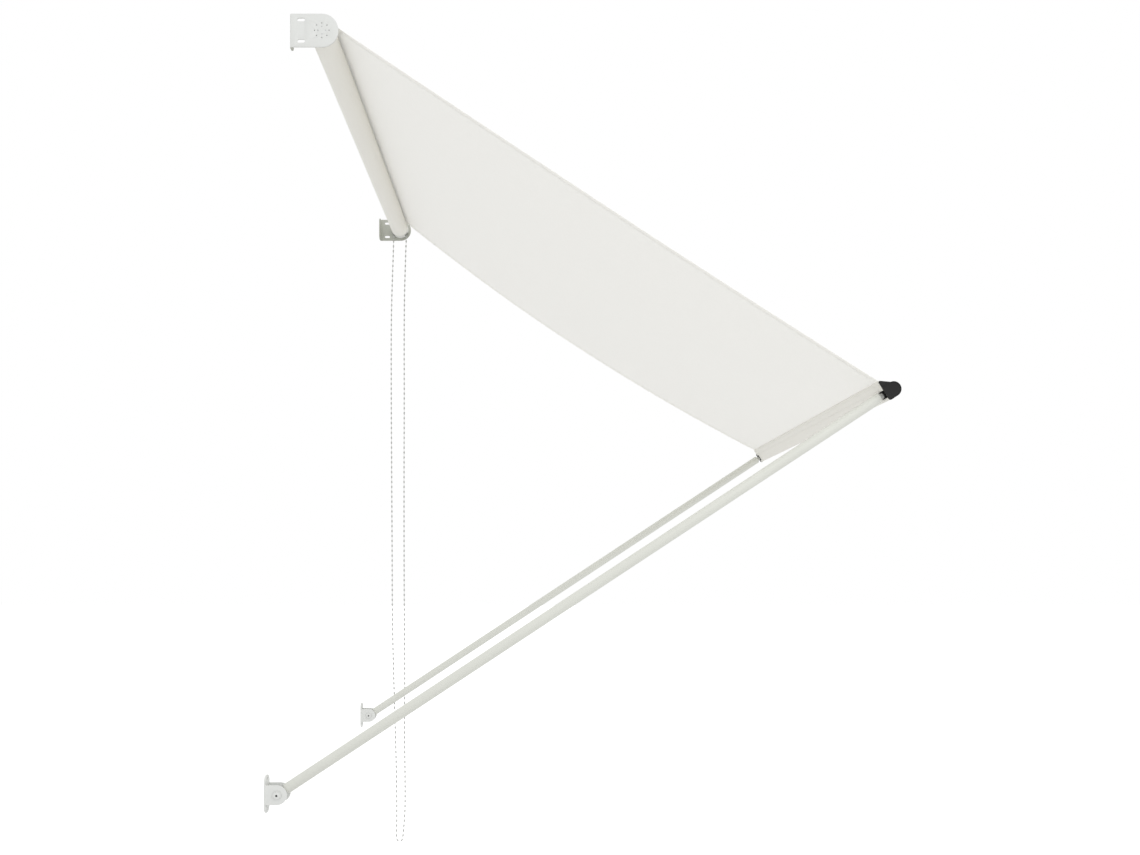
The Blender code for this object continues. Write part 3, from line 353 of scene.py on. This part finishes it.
finishes = {name: makePowder(name) for name in powderFinish}
finishes.update({name: makePlastic(name) for name in plasticFinish})
finishes["zinc"] = makeZinc()
finishes.update({name: makeCanvas(name) for name in canvasFinish["through"]})
finishes["thread"] = makeThread()
print("materials made:", len(finishes))


# mesh helpers

def makePiece(name, bm, finish, body, angle=35.0):
    bmesh.ops.recalc_face_normals(bm, faces=bm.faces)
    mesh = bpy.data.meshes.new(name)
    bm.to_mesh(mesh)
    bm.free()
    mesh.shade_smooth()
    mesh.set_sharp_from_angle(angle=math.radians(angle))
    mesh.materials.append(finishes[finish])
    item = bpy.data.objects.new(name, mesh)
    scene.collection.objects.link(item)
    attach(item, body)
    return item


# closed skin over a grid of rings; each ring is one closed cross-section
def skinRings(bm, rings, closedEnds=True):
    made = [[bm.verts.new(point) for point in ring] for ring in rings]
    count = len(made[0])
    for first, second in zip(made, made[1:]):
        for index in range(count):
            after = (index + 1) % count
            bm.faces.new((first[index], first[after], second[after], second[index]))
    if closedEnds:
        bm.faces.new(made[0])
        bm.faces.new(list(reversed(made[-1])))
    return made


# tube of given radius round a path in space, square to its run
def skinPath(bm, path, radii, sides):
    rings = []
    for index, point in enumerate(path):
        ahead = path[min(index + 1, len(path) - 1)]
        behind = path[max(index - 1, 0)]
        run = (ahead - behind).normalized()
        side = run.cross(Vector((1.0, 0.0, 0.0)))
        if side.length < 0.1:
            side = run.cross(Vector((0.0, 0.0, 1.0)))
        side.normalize()
        lift = run.cross(side)
        ring = []
        for step in range(sides):
            turn = 2 * math.pi * step / sides
            ring.append(point + (side * math.cos(turn) + lift * math.sin(turn)) * radii[index])
        rings.append(ring)
    skinRings(bm, rings)


def setMeasure(item, values):
    store = item.data.attributes.new("weave", "FLOAT_VECTOR", "POINT")
    store.data.foreach_set("vector", [number for value in values for number in (*value, 0.0)])


# ball chain: moulded beads on a cord, one free loop and the stretch over the wheel

chain = {
    "x": part["right"] - 0.011,
    "radius": 0.020,
    "drop": 1.955,
    # depth below the axis, with how far the back and the front strand stand from it
    "strands": [(0.0, 0.0200, 0.0200), (0.03, 0.0204, 0.0196), (0.09, 0.0222, 0.0176),
                (0.19, 0.0256, 0.0146), (0.30, 0.0280, 0.0132), (0.55, 0.0282, 0.0132),
                (0.80, 0.0268, 0.0126), (1.05, 0.0254, 0.0128), (1.25, 0.0244, 0.0136),
                (1.42, 0.0206, 0.0148), (1.62, 0.0148, 0.0142), (1.75, 0.0116, 0.0158),
                (1.85, 0.0106, 0.0156), (1.905, 0.0108, 0.0122)],
    "turn": 0.0095,
    "turnBack": 0.0014,
    "turnSteps": 6,
    "overWheel": range(2, 179, 4),      # degrees round the wheel
    "points": 1300,
    "cordSides": 6,
    "beadSides": 10,
    "diameter": 0.0045,
    "length": 3.92,
    "beadLength": 0.0088,
    "pitch": 0.0157,
    "cord": 0.0011,
    "mouth": -0.028,
}


def chainRoute():
    middle = -part["axisOut"]
    back = [(middle + behind, -depth) for depth, behind, ahead in chain["strands"]]
    front = [(middle - ahead, -depth) for depth, behind, ahead in reversed(chain["strands"])]
    turn = []
    for index in range(chain["turnSteps"] + 1):
        angle = math.pi * index / chain["turnSteps"]
        turn.append((middle + chain["turnBack"] + chain["turn"] * math.cos(angle),
                     -chain["drop"] + chain["turn"] * (1 - math.sin(angle))))
    return back + turn + front


def smoothRoute(route, steps=24):
    dense = []
    last = len(route) - 1
    for index in range(last):
        p0, p1 = Vector(route[max(index - 1, 0)]), Vector(route[index])
        p2, p3 = Vector(route[index + 1]), Vector(route[min(index + 2, last)])
        k0, k1, k2 = (max((b - a).length, 1e-6) ** 0.5 for a, b in ((p0, p1), (p1, p2), (p2, p3)))
        m1 = m2 = p2 - p1
        if index > 0:
            m1 = ((p1 - p0) / k0 - (p2 - p0) / (k0 + k1) + (p2 - p1) / k1) * k1
        if index < last - 1:
            m2 = ((p2 - p1) / k1 - (p3 - p1) / (k1 + k2) + (p3 - p2) / k2) * k1
        for step in range(steps):
            t = step / steps
            dense.append(p1 * (2 * t ** 3 - 3 * t ** 2 + 1) + m1 * (t ** 3 - 2 * t ** 2 + t)
                         + p2 * (3 * t ** 2 - 2 * t ** 3) + m2 * (t ** 3 - t ** 2))
    dense.append(Vector(route[last]))
    return dense


def evenPoints(points, count):
    lengths = [0.0]
    for first, second in zip(points, points[1:]):
        lengths.append(lengths[-1] + (second - first).length)
    even = []
    place = 0
    for index in range(count):
        target = lengths[-1] * index / (count - 1)
        while place < len(lengths) - 2 and lengths[place + 1] < target:
            place += 1
        share = (target - lengths[place]) / max(lengths[place + 1] - lengths[place], 1e-9)
        even.append(points[place].lerp(points[place + 1], min(1.0, share)))
    return even, lengths[-1]


# one bead: a barrel with round shoulders, drawn along its run
beadProfile = [(-0.50, 0.25), (-0.44, 0.58), (-0.32, 0.86), (-0.15, 0.98), (0.0, 1.0),
               (0.15, 0.98), (0.32, 0.86), (0.44, 0.58), (0.50, 0.25)]


def addBead(bm, centre, run):
    path = [centre + run * chain["beadLength"] * along for along, width in beadProfile]
    radii = [chain["diameter"] / 2 * width for along, width in beadProfile]
    skinPath(bm, path, radii, chain["beadSides"])


def makeChain(name, route, node):
    points, length = evenPoints([Vector((chain["x"], *spot)) for spot in route], chain["points"])
    beads = round(length / chain["pitch"])
    bm = bmesh.new()
    skinPath(bm, points, [chain["cord"] / 2] * len(points), chain["cordSides"])
    for index in range(beads):
        spot = (index + 0.5) / beads * (len(points) - 1)
        low = min(int(spot), len(points) - 2)
        run = (points[low + 1] - points[low]).normalized()
        addBead(bm, points[low].lerp(points[low + 1], spot - low), run)
    item = makePiece(name, bm, "chainPlastic", "root")
    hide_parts(node)
    print(name, "length", round(length, 4), "beads", beads)
    return item, points


loop, loopPoints = makeChain("pullChain", smoothRoute(chainRoute()), "chain_loop")
overWheel = [(-part["axisOut"] + chain["radius"] * math.cos(math.radians(turn)),
              chain["radius"] * math.sin(math.radians(turn))) for turn in chain["overWheel"]]
makeChain("chainOnWheel", overWheel, "chain_over_wheel")


# cloth: lines that the canvas follows, seen from the side as (y, z)

def armToWorld(u, v, fold=0.0):
    rise = part["armRise"] + fold
    along = Vector((-math.cos(rise), math.sin(rise)))
    across = Vector((math.sin(rise), math.cos(rise)))
    return pivot + along * (part["armLength"] + u) + across * v


def hemCorner(fold=0.0):
    reach = part["barCorner"] + part["gap"] + part["canvas"]
    u = -part["barBack"] + part["barCorner"] - reach * part["hemLean"][0]
    v = part["barTop"] - part["barCorner"] + reach * part["hemLean"][1]
    return armToWorld(u, v, fold)


liftRadius = part["tubeRadius"] + 2 * part["gap"] + part["rollTurns"] * part["canvas"]


def liftOff():
    chord = hemCorner() - rollerAxis
    lean = math.asin(liftRadius / chord.length)
    heading = math.atan2(chord.y, -chord.x) - lean
    normal = Vector((math.sin(heading), math.cos(heading)))
    return normal, rollerAxis + normal * liftRadius


panelNormal, panelStart = liftOff()
panelEnd = hemCorner()

# the hem corner with the arms folded, how far it moves in, and the share of the free canvas that would
# stay off the roller
foldedEnd = hemCorner(part["armFold"])
drawIn = panelEnd - foldedEnd
foldKeep = 1.0 - drawIn.length_squared / (panelEnd - panelStart).dot(drawIn)


def drawsIn(item):
    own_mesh(item)


cloth = {
    "hem": 0.014,          # folded side hem
    "step": 0.0012,
    "sideSteps": (0.0, 0.35, 0.7, 1.0),
    "foldIn": 0.03,        # share of the reach over which the side hems grow thick
    "foldOut": 0.015,
    "stitchInset": 0.0115,
    "ripple": 0.0011,
    "waves": ((5.2, 1.7, 3.1, 1.0), (13.0, 3.4, 9.4, 0.45)),
    "fade": 0.7,
    "pucker": 0.00025,
    "puckerTurns": 230.0,
    "puckerWidth": 0.03,
    "normalStep": 0.004,
    "columns": 58,
    "rows": 116,
}


# one point of the canopy's lower face, at a share of its width and a part of its reach
def clothPoint(share, part01):
    sag = part["sagLeft"] + (part["sagRight"] - part["sagLeft"]) * share ** part["sagPower"]
    point = panelStart + (panelEnd - panelStart) * part01 - panelNormal * sag * 4 * part01 * (1 - part01)
    fade = math.sin(math.pi * min(1.0, part01)) ** cloth["fade"]
    wave = sum(weight * noise.noise(Vector((share * across, part01 * along, seed)))
               for across, along, seed, weight in cloth["waves"])
    edge = max(0.0, 1.0 - min(share, 1.0 - share) * (canvasHigh - canvasLow) / cloth["puckerWidth"])
    pucker = math.sin(part01 * cloth["puckerTurns"]) * edge * cloth["pucker"]
    point = point + panelNormal * (wave * cloth["ripple"] * fade + pucker * fade)
    if (point - rollerAxis).length < liftRadius:
        point = rollerAxis + (point - rollerAxis).normalized() * liftRadius
    return point


def clothNormal(share, part01):
    before = clothPoint(share, max(0.0, part01 - cloth["normalStep"]))
    after = clothPoint(share, min(1.0, part01 + cloth["normalStep"]))
    run = (after - before).normalized()
    up = Vector((run.y, -run.x))
    return up if up.dot(panelNormal) > 0 else -up


def panelShares():
    width = canvasHigh - canvasLow
    hem = cloth["hem"] / width
    step = cloth["step"] / width
    inner = [hem + step + (1 - 2 * hem - 2 * step) * index / cloth["columns"]
             for index in range(cloth["columns"] + 1)]
    side = [hem * spot for spot in cloth["sideSteps"]]
    return side + inner + [1.0 - value for value in reversed(side)]


def makePanel():
    shares = panelShares()
    width = canvasHigh - canvasLow
    hem = cloth["hem"] / width
    reach = (panelEnd - panelStart).length
    bm = bmesh.new()
    rings = []
    measures = []
    for row in range(cloth["rows"] + 1):
        part01 = row / cloth["rows"]
        fold = min(1.0, part01 / cloth["foldIn"]) * min(1.0, (1.0 - part01) / cloth["foldOut"])
        over, under, rowMeasure = [], [], []
        for share in shares:
            low = clothPoint(share, part01)
            up = clothNormal(share, part01)
            doubled = part["canvas"] * fold if share <= hem or share >= 1.0 - hem else 0.0
            x = canvasLow + width * share
            top = low + up * part["canvas"]
            bottom = low - up * doubled
            over.append(Vector((x, top.x, top.y)))
            under.append(Vector((x, bottom.x, bottom.y)))
            rowMeasure.append((x, part01 * reach))
        rings.append(over + list(reversed(under)))
        measures += rowMeasure + list(reversed(rowMeasure))
    skinRings(bm, rings)
    item = makePiece("canopyCanvas", bm, "canvas", "root", 50.0)
    setMeasure(item, measures)
    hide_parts("canopy_panel")
    return item


panel = makePanel()
print("canopy canvas made")

thread = {
    "length": 0.0030,
    "pitch": 0.0042,
    "lead": 0.15,
    "width": 0.00042,
    "rise": 0.00022,
    "sides": 5,
    # along the stitch, height above the cloth and share of the width
    "path": ((0.0, -1.0, 0.7), (0.12, 0.4, 1.0), (0.5, 1.0, 1.0), (0.88, 0.4, 1.0), (1.0, -1.0, 0.7)),
    "start": 0.035,
    "span": 0.95,
}


# a row of lock stitches: each one a short thread that dips in at both ends
def addStitch(bm, start, end, up):
    path = [start.lerp(end, along) + up * thread["rise"] * height
            for along, height, width in thread["path"]]
    radii = [thread["width"] / 2 * width for along, height, width in thread["path"]]
    skinPath(bm, path, radii, thread["sides"])


def stitchRow(bm, place, length):
    count = int(length / thread["pitch"])
    for index in range(count):
        low = (index + thread["lead"]) / count
        high = low + thread["length"] / length
        start, up = place(low)
        end, up2 = place(high)
        addStitch(bm, start, end, (up + up2).normalized())


def sideStitches(name, share):
    reach = (panelEnd - panelStart).length
    bm = bmesh.new()
    for sign in (-1, 1):
        def place(part01, sign=sign):
            part01 = thread["start"] + thread["span"] * part01
            low = clothPoint(share, part01)
            up = clothNormal(share, part01)
            spot = low + up * part["canvas"] if sign > 0 else low - up * part["canvas"]
            x = canvasLow + (canvasHigh - canvasLow) * share
            return Vector((x, spot.x, spot.y)), Vector((0.0, up.x, up.y)) * sign
        stitchRow(bm, place, reach * thread["span"])
    return makePiece(name, bm, "thread", "root")


stitchShare = cloth["stitchInset"] / (canvasHigh - canvasLow)
stitches = [sideStitches("sideHemStitchesLeft", stitchShare),
            sideStitches("sideHemStitchesRight", 1.0 - stitchShare)]
for item in [panel] + stitches:
    drawsIn(item)
print("side hems stitched")


# wound canvas: the turns that stay on the roller, as one strip in a spiral
winding = {
    "turns": 1.5,
    "steps": 140,
    "columns": 24,
    "thickness": 0.00054,
    "bulge": 0.00012,
    "waves": (9.0, 0.6),
    "settle": 6,
}


def makeWinding():
    start = math.atan2(panelNormal.y, panelNormal.x)
    fall = (liftRadius - part["tubeRadius"] - part["gap"]) / winding["turns"]
    wide, about = winding["waves"]
    bm = bmesh.new()
    rings = []
    measures = []
    for column in range(winding["columns"] + 1):
        share = column / winding["columns"]
        x = canvasLow + (canvasHigh - canvasLow) * share
        inner, outer, rowMeasure = [], [], []
        for index in range(winding["steps"] + 1):
            turn = winding["turns"] * index / winding["steps"]
            angle = start - 2 * math.pi * turn
            wave = noise.noise(Vector((share * wide, math.cos(angle) * about,
                                       math.sin(angle) * about + turn)))
            bulge = winding["bulge"] * wave * min(1.0, turn * winding["settle"])
            radius = liftRadius - fall * turn + bulge
            away = Vector((math.cos(angle), math.sin(angle)))
            low = rollerAxis + away * radius
            high = rollerAxis + away * (radius + winding["thickness"])
            inner.append(Vector((x, low.x, low.y)))
            outer.append(Vector((x, high.x, high.y)))
            rowMeasure.append((x, -2 * math.pi * turn * radius))
        rings.append(outer + list(reversed(inner)))
        measures += rowMeasure + list(reversed(rowMeasure))
    made = skinRings(bm, rings, False)
    half = winding["steps"] + 1
    for ring, forward in ((made[0], True), (made[-1], False)):
        for index in range(half - 1):
            quad = (ring[index], ring[index + 1], ring[2 * half - 2 - index], ring[2 * half - 1 - index])
            bm.faces.new(quad if forward else tuple(reversed(quad)))
    item = makePiece("woundCanvas", bm, "backedCanvas", "roller", 40.0)
    setMeasure(item, measures)
    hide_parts("canopy_roll")
    return item


wound = makeWinding()
print("wound canvas made")


# hem sleeve: the canvas pulled round the front bar and sewn to itself behind it
sleeve = {
    "columns": 72,
    "points": 132,
    "hullSteps": 720,
    "notchSteps": 4,
    "ripple": 0.0004,
    "waves": (17.0, 1.3, 0.02),
    "flap": (0.0262, 0.0112),
    "flapThickness": 0.0006,
    "seams": (0.0232, 0.0132),
    "flapInset": 0.004,
    "seamLift": 0.0003,
}


def barHull(grow, count):
    back = -part["barBack"] + part["barCorner"]
    corner = part["barCorner"]
    circles = ((0.0, 0.0, part["barRadius"]), (back, -part["barRadius"] + corner, corner),
               (back, part["barTop"] - corner, corner))
    dense = []
    for index in range(sleeve["hullSteps"]):
        turn = 2 * math.pi * (index + 0.5) / sleeve["hullSteps"]
        away = (math.cos(turn), math.sin(turn))
        best = max(circles, key=lambda c: c[0] * away[0] + c[1] * away[1] + c[2])
        dense.append(Vector((best[0] + (best[2] + grow) * away[0], best[1] + (best[2] + grow) * away[1])))
    even, length = evenPoints(dense + [dense[0]], count + 1)
    return even[:-1], length


# columns along the sleeve, closer together where its ends are open for the cap's collar
def sleeveColumns():
    reach = part["armInset"] + part["collar"] + 2 * part["gap"]
    near, far = (reach - inset for inset in part["canvasInset"])
    width = canvasHigh - canvasLow
    steps = sleeve["notchSteps"]
    first = [near * step / steps for step in range(steps)]
    inner = [near + (width - near - far) * index / sleeve["columns"]
             for index in range(sleeve["columns"] + 1)]
    last = [width - far * step / steps for step in reversed(range(steps))]
    return [canvasLow + spot for spot in first + inner + last]


def makeSleeve():
    inner = barHull(part["gap"], sleeve["points"])[0]
    outer, around = barHull(part["gap"] + part["canvas"], sleeve["points"])
    columns = sleeveColumns()
    count = sleeve["points"]
    steps = sleeve["notchSteps"]
    wide, about, apart = sleeve["waves"]
    bm = bmesh.new()
    grid = []
    measures = []
    for x in columns:
        rows = []
        for layer, outline in enumerate((outer, inner)):
            ring = []
            for index, spot in enumerate(outline):
                turn = 2 * math.pi * index / count
                wave = noise.noise(Vector((x * wide, math.cos(turn) * about,
                                           math.sin(turn) * about + layer * apart)))
                away = spot.normalized() * max(0.0, wave) * sleeve["ripple"]
                place = armToWorld(spot.x + away.x, spot.y + away.y)
                ring.append(bm.verts.new((x, place.x, place.y)))
                measures.append((x, around * index / count))
            rows.append(ring)
        grid.append(rows)

    def kept(column, index):
        if column < 0 or column >= len(columns) - 1:
            return False
        middle = (outer[index] + outer[(index + 1) % count]) / 2
        openEnd = column < steps or column > len(columns) - steps - 2
        reach = part["collar"] + 2 * part["gap"]
        return not (openEnd and middle.x < -part["barBack"] / 2 and abs(middle.y) < reach)

    for column in range(len(columns) - 1):
        near, far = grid[column], grid[column + 1]
        for index in range(count):
            after = (index + 1) % count
            if not kept(column, index):
                continue
            for layer in (0, 1):
                bm.faces.new((near[layer][index], near[layer][after],
                              far[layer][after], far[layer][index]))
            walls = (((column - 1, index), near, index, near, after),
                     ((column + 1, index), far, index, far, after),
                     ((column, index - 1), near, index, far, index),
                     ((column, after), near, after, far, after))
            for neighbour, first, firstAt, second, secondAt in walls:
                if not kept(neighbour[0], neighbour[1] % count):
                    bm.faces.new((first[0][firstAt], second[0][secondAt],
                                  second[1][secondAt], first[1][firstAt]))
    keptPoints = [bool(vert.link_faces) for vert in bm.verts]
    loose = [vert for vert in bm.verts if not vert.link_faces]
    bmesh.ops.delete(bm, geom=loose, context="VERTS")
    item = makePiece("hemSleeve", bm, "backedCanvas", "arm_frame", 50.0)
    setMeasure(item, [value for value, keep in zip(measures, keptPoints) if keep])
    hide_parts("canopy_hem")
    return item, around


hem, hemAround = makeSleeve()


def backFace(v, out):
    return armToWorld(-part["barBack"] - part["gap"] - part["canvas"] - out, v)


flapForm = {
    "columns": 92,
    "rows": 10,
    "fray": 0.0003,
    "frayWave": 40.0,
    "lift": 0.00018,
    "liftWave": (30.0, 90.0),
    "rest": 0.00012,
    "thinEdge": 0.0004,
    "underside": 0.4,
    "tuck": -0.018,        # cloth measure from the flap's root to its edge
}


def makeFlap():
    high, low = sleeve["flap"]
    bm = bmesh.new()
    rings = []
    measures = []
    rows = flapForm["rows"]
    start = canvasLow + sleeve["flapInset"]
    stop = canvasHigh - sleeve["flapInset"]
    wide, tall = flapForm["liftWave"]
    for column in range(flapForm["columns"] + 1):
        share = column / flapForm["columns"]
        x = start + (stop - start) * share
        outer, inner = [], []
        fray = flapForm["fray"] * noise.noise(Vector((share * flapForm["frayWave"], 0.0, 2.0)))
        for row in range(rows + 1):
            v = high + (low + fray - high) * row / rows
            wave = 1 + noise.noise(Vector((share * wide, v * tall, 5.0)))
            lift = flapForm["lift"] * wave + flapForm["rest"]
            edge = flapForm["thinEdge"] if row == rows else 0.0
            near = backFace(v, lift + sleeve["flapThickness"] - edge)
            far = backFace(v, lift * flapForm["underside"])
            outer.append(Vector((x, near.x, near.y)))
            inner.append(Vector((x, far.x, far.y)))
        rings.append(outer + list(reversed(inner)))
        down = [(x, flapForm["tuck"] * row / rows) for row in range(rows + 1)]
        measures += down + list(reversed(down))
    skinRings(bm, rings)
    item = makePiece("hemFlap", bm, "backedCanvas", "arm_frame", 50.0)
    setMeasure(item, measures)
    return item


def makeSeams():
    bm = bmesh.new()
    start = canvasLow + sleeve["flapInset"]
    length = canvasHigh - canvasLow - 2 * sleeve["flapInset"]
    out = armToWorld(-1.0, 0.0) - armToWorld(0.0, 0.0)
    up = Vector((0.0, out.x, out.y)).normalized()
    for v in sleeve["seams"]:
        def place(share, v=v):
            spot = backFace(v, sleeve["seamLift"] + sleeve["flapThickness"])
            return Vector((start + length * share, spot.x, spot.y)), up
        stitchRow(bm, place, length)
    return makePiece("hemSeamStitches", bm, "thread", "arm_frame")


flap = makeFlap()
seams = makeSeams()
print("hem sleeve sewn")


# rigid parts: the CAD node stays, with broken edges, smooth curves and its own finish

pair = ("left", "right")
dressing = {
    "bracketCoat": {"nodes": [f"{height}_bracket_{side}" for height in ("top", "lower") for side in pair]
                             + [f"pivot_washer_{side}_{number}" for side in pair
                                for number in range(1, 5)],
                    "edge": 0.0003},
    "boltCoat": {"nodes": [f"pivot_bolt_{side}" for side in pair], "edge": 0.0002},
    "tubeCoat": {"nodes": ["roller_tube", "front_bar", "arm_left", "arm_right"], "edge": 0.0002},
    "blackPlastic": {"nodes": [f"end_cap_{side}" for side in pair], "edge": 0.0003},
    "greyPlastic": {"nodes": ["idler_plug", "drive_plug", "drive_spindle"]
                             + [f"arm_{end}_{side}" for end in ("foot", "tip") for side in pair],
                    "edge": 0.0003},
    "whitePlastic": {"nodes": ["drive_housing", "chain_wheel", "keder_rod"], "edge": 0.0002},
    "nylon": {"nodes": ["idler_bush", "pivot_bush_left", "pivot_bush_right"], "edge": 0.0},
    "zinc": {"nodes": ["idler_pin", "brake_spring"]
                      + [f"{end}_screw_{number}" for end in ("idler", "drive")
                         for number in range(1, 5)]
                      + [f"pivot_nut_{side}" for side in pair]
                      + [f"arm_screw_{side}_{end}" for side in pair for end in ("foot", "tip")],
             "edge": 0.00015},
}
dressRules = {"weld": 0.000002, "flat": math.radians(0.4), "segments": 2, "sharp": math.radians(32)}


def dress(name, finish, edge):
    item = nodes[name]
    item.data.materials.clear()
    item.data.materials.append(finishes[finish])
    item.data.shade_smooth()
    weld = item.modifiers.new("weld", "WELD")
    weld.merge_threshold = dressRules["weld"]
    flatten = item.modifiers.new("flatten", "DECIMATE")
    flatten.decimate_type = "DISSOLVE"
    flatten.angle_limit = dressRules["flat"]
    if edge:
        bevel = item.modifiers.new("edge", "BEVEL")
        bevel.width = edge
        bevel.segments = dressRules["segments"]
        bevel.limit_method = "ANGLE"
        bevel.angle_limit = dressRules["sharp"]
        bevel.harden_normals = True
        bevel.miter_outer = "MITER_ARC"


for finish, job in dressing.items():
    for name in job["nodes"]:
        dress(name, finish, job["edge"])
print("rigid parts dressed")


# stage: pale floor and even studio light

stage = {
    "floorBelow": 0.015,
    "floorSize": 40.0,
    "floorColour": (0.85, 0.85, 0.85, 1.0),
    "floorRough": 0.9,
    "floorGlow": 0.45,     # seen by the camera only
    "worldLevel": 0.93,
    "keyEnergy": 30.0,
    "keySize": 3.2,
    "keyPlace": (-2.6, -2.4, 2.2),
    "keyAim": (0.45, -0.5, -0.6),
    "fillEnergy": 8.0,
    "fillSize": 4.0,
    "fillPlace": (3.2, -3.0, 0.6),
    "fillAim": (0.45, -0.5, -0.6),
}


def makeFloor():
    low = cadBox[0]
    half = stage["floorSize"] / 2
    z = low.z - stage["floorBelow"]
    bm = bmesh.new()
    corners = ((-half, -half), (half, -half), (half, half), (-half, half))
    bm.faces.new([bm.verts.new((x, y, z)) for x, y in corners])
    mesh = bpy.data.meshes.new("floor")
    bm.to_mesh(mesh)
    bm.free()
    item = bpy.data.objects.new("floor", mesh)
    scene.collection.objects.link(item)
    made = Finish("floorFinish", Roughness=stage["floorRough"], Specular_IOR_Level=0.0)
    made.shader.inputs["Base Color"].default_value = stage["floorColour"]
    path = made.node("ShaderNodeLightPath", output="Is Camera Ray")
    lit = Wire(made, made.shader.outputs[0])
    glow = made.node("ShaderNodeEmission", None,
                     {"Color": (1.0, 1.0, 1.0, 1.0), "Strength": path * stage["floorGlow"]})
    both = made.node("ShaderNodeAddShader", None, {0: lit, 1: glow})
    made.tree.links.new(both.socket, made.tree.nodes["Material Output"].inputs["Surface"])
    mesh.materials.append(made.material)


def makeWorld():
    world = bpy.data.worlds.new("studio")
    world.use_nodes = True
    scene.world = world
    tree = world.node_tree
    path = tree.nodes.new("ShaderNodeLightPath")
    sky = tree.nodes["Background"]
    sky.inputs["Color"].default_value = (1.0, 1.0, 1.0, 1.0)
    seen = path.outputs["Is Camera Ray"]
    for label in ("Is Glossy Ray", "Is Transmission Ray"):
        either = tree.nodes.new("ShaderNodeMath")
        either.operation = "MAXIMUM"
        tree.links.new(seen, either.inputs[0])
        tree.links.new(path.outputs[label], either.inputs[1])
        seen = either.outputs[0]
    level = tree.nodes.new("ShaderNodeMapRange")
    level.inputs["To Min"].default_value = stage["worldLevel"]
    level.inputs["To Max"].default_value = 1.0
    tree.links.new(seen, level.inputs["Value"])
    tree.links.new(level.outputs["Result"], sky.inputs["Strength"])


def makeLamp(name, energy, size, place, aim):
    data = bpy.data.lights.new(name, "AREA")
    data.energy = energy
    data.size = size
    item = bpy.data.objects.new(name, data)
    scene.collection.objects.link(item)
    item.location = place
    item.rotation_mode = "QUATERNION"
    item.rotation_quaternion = (Vector(aim) - Vector(place)).to_track_quat("-Z", "Y")


makeFloor()
makeWorld()
for lamp in ("key", "fill"):
    makeLamp(lamp, stage[lamp + "Energy"], stage[lamp + "Size"], stage[lamp + "Place"],
             stage[lamp + "Aim"])
scene.view_settings.view_transform = "Standard"
print("stage lit")
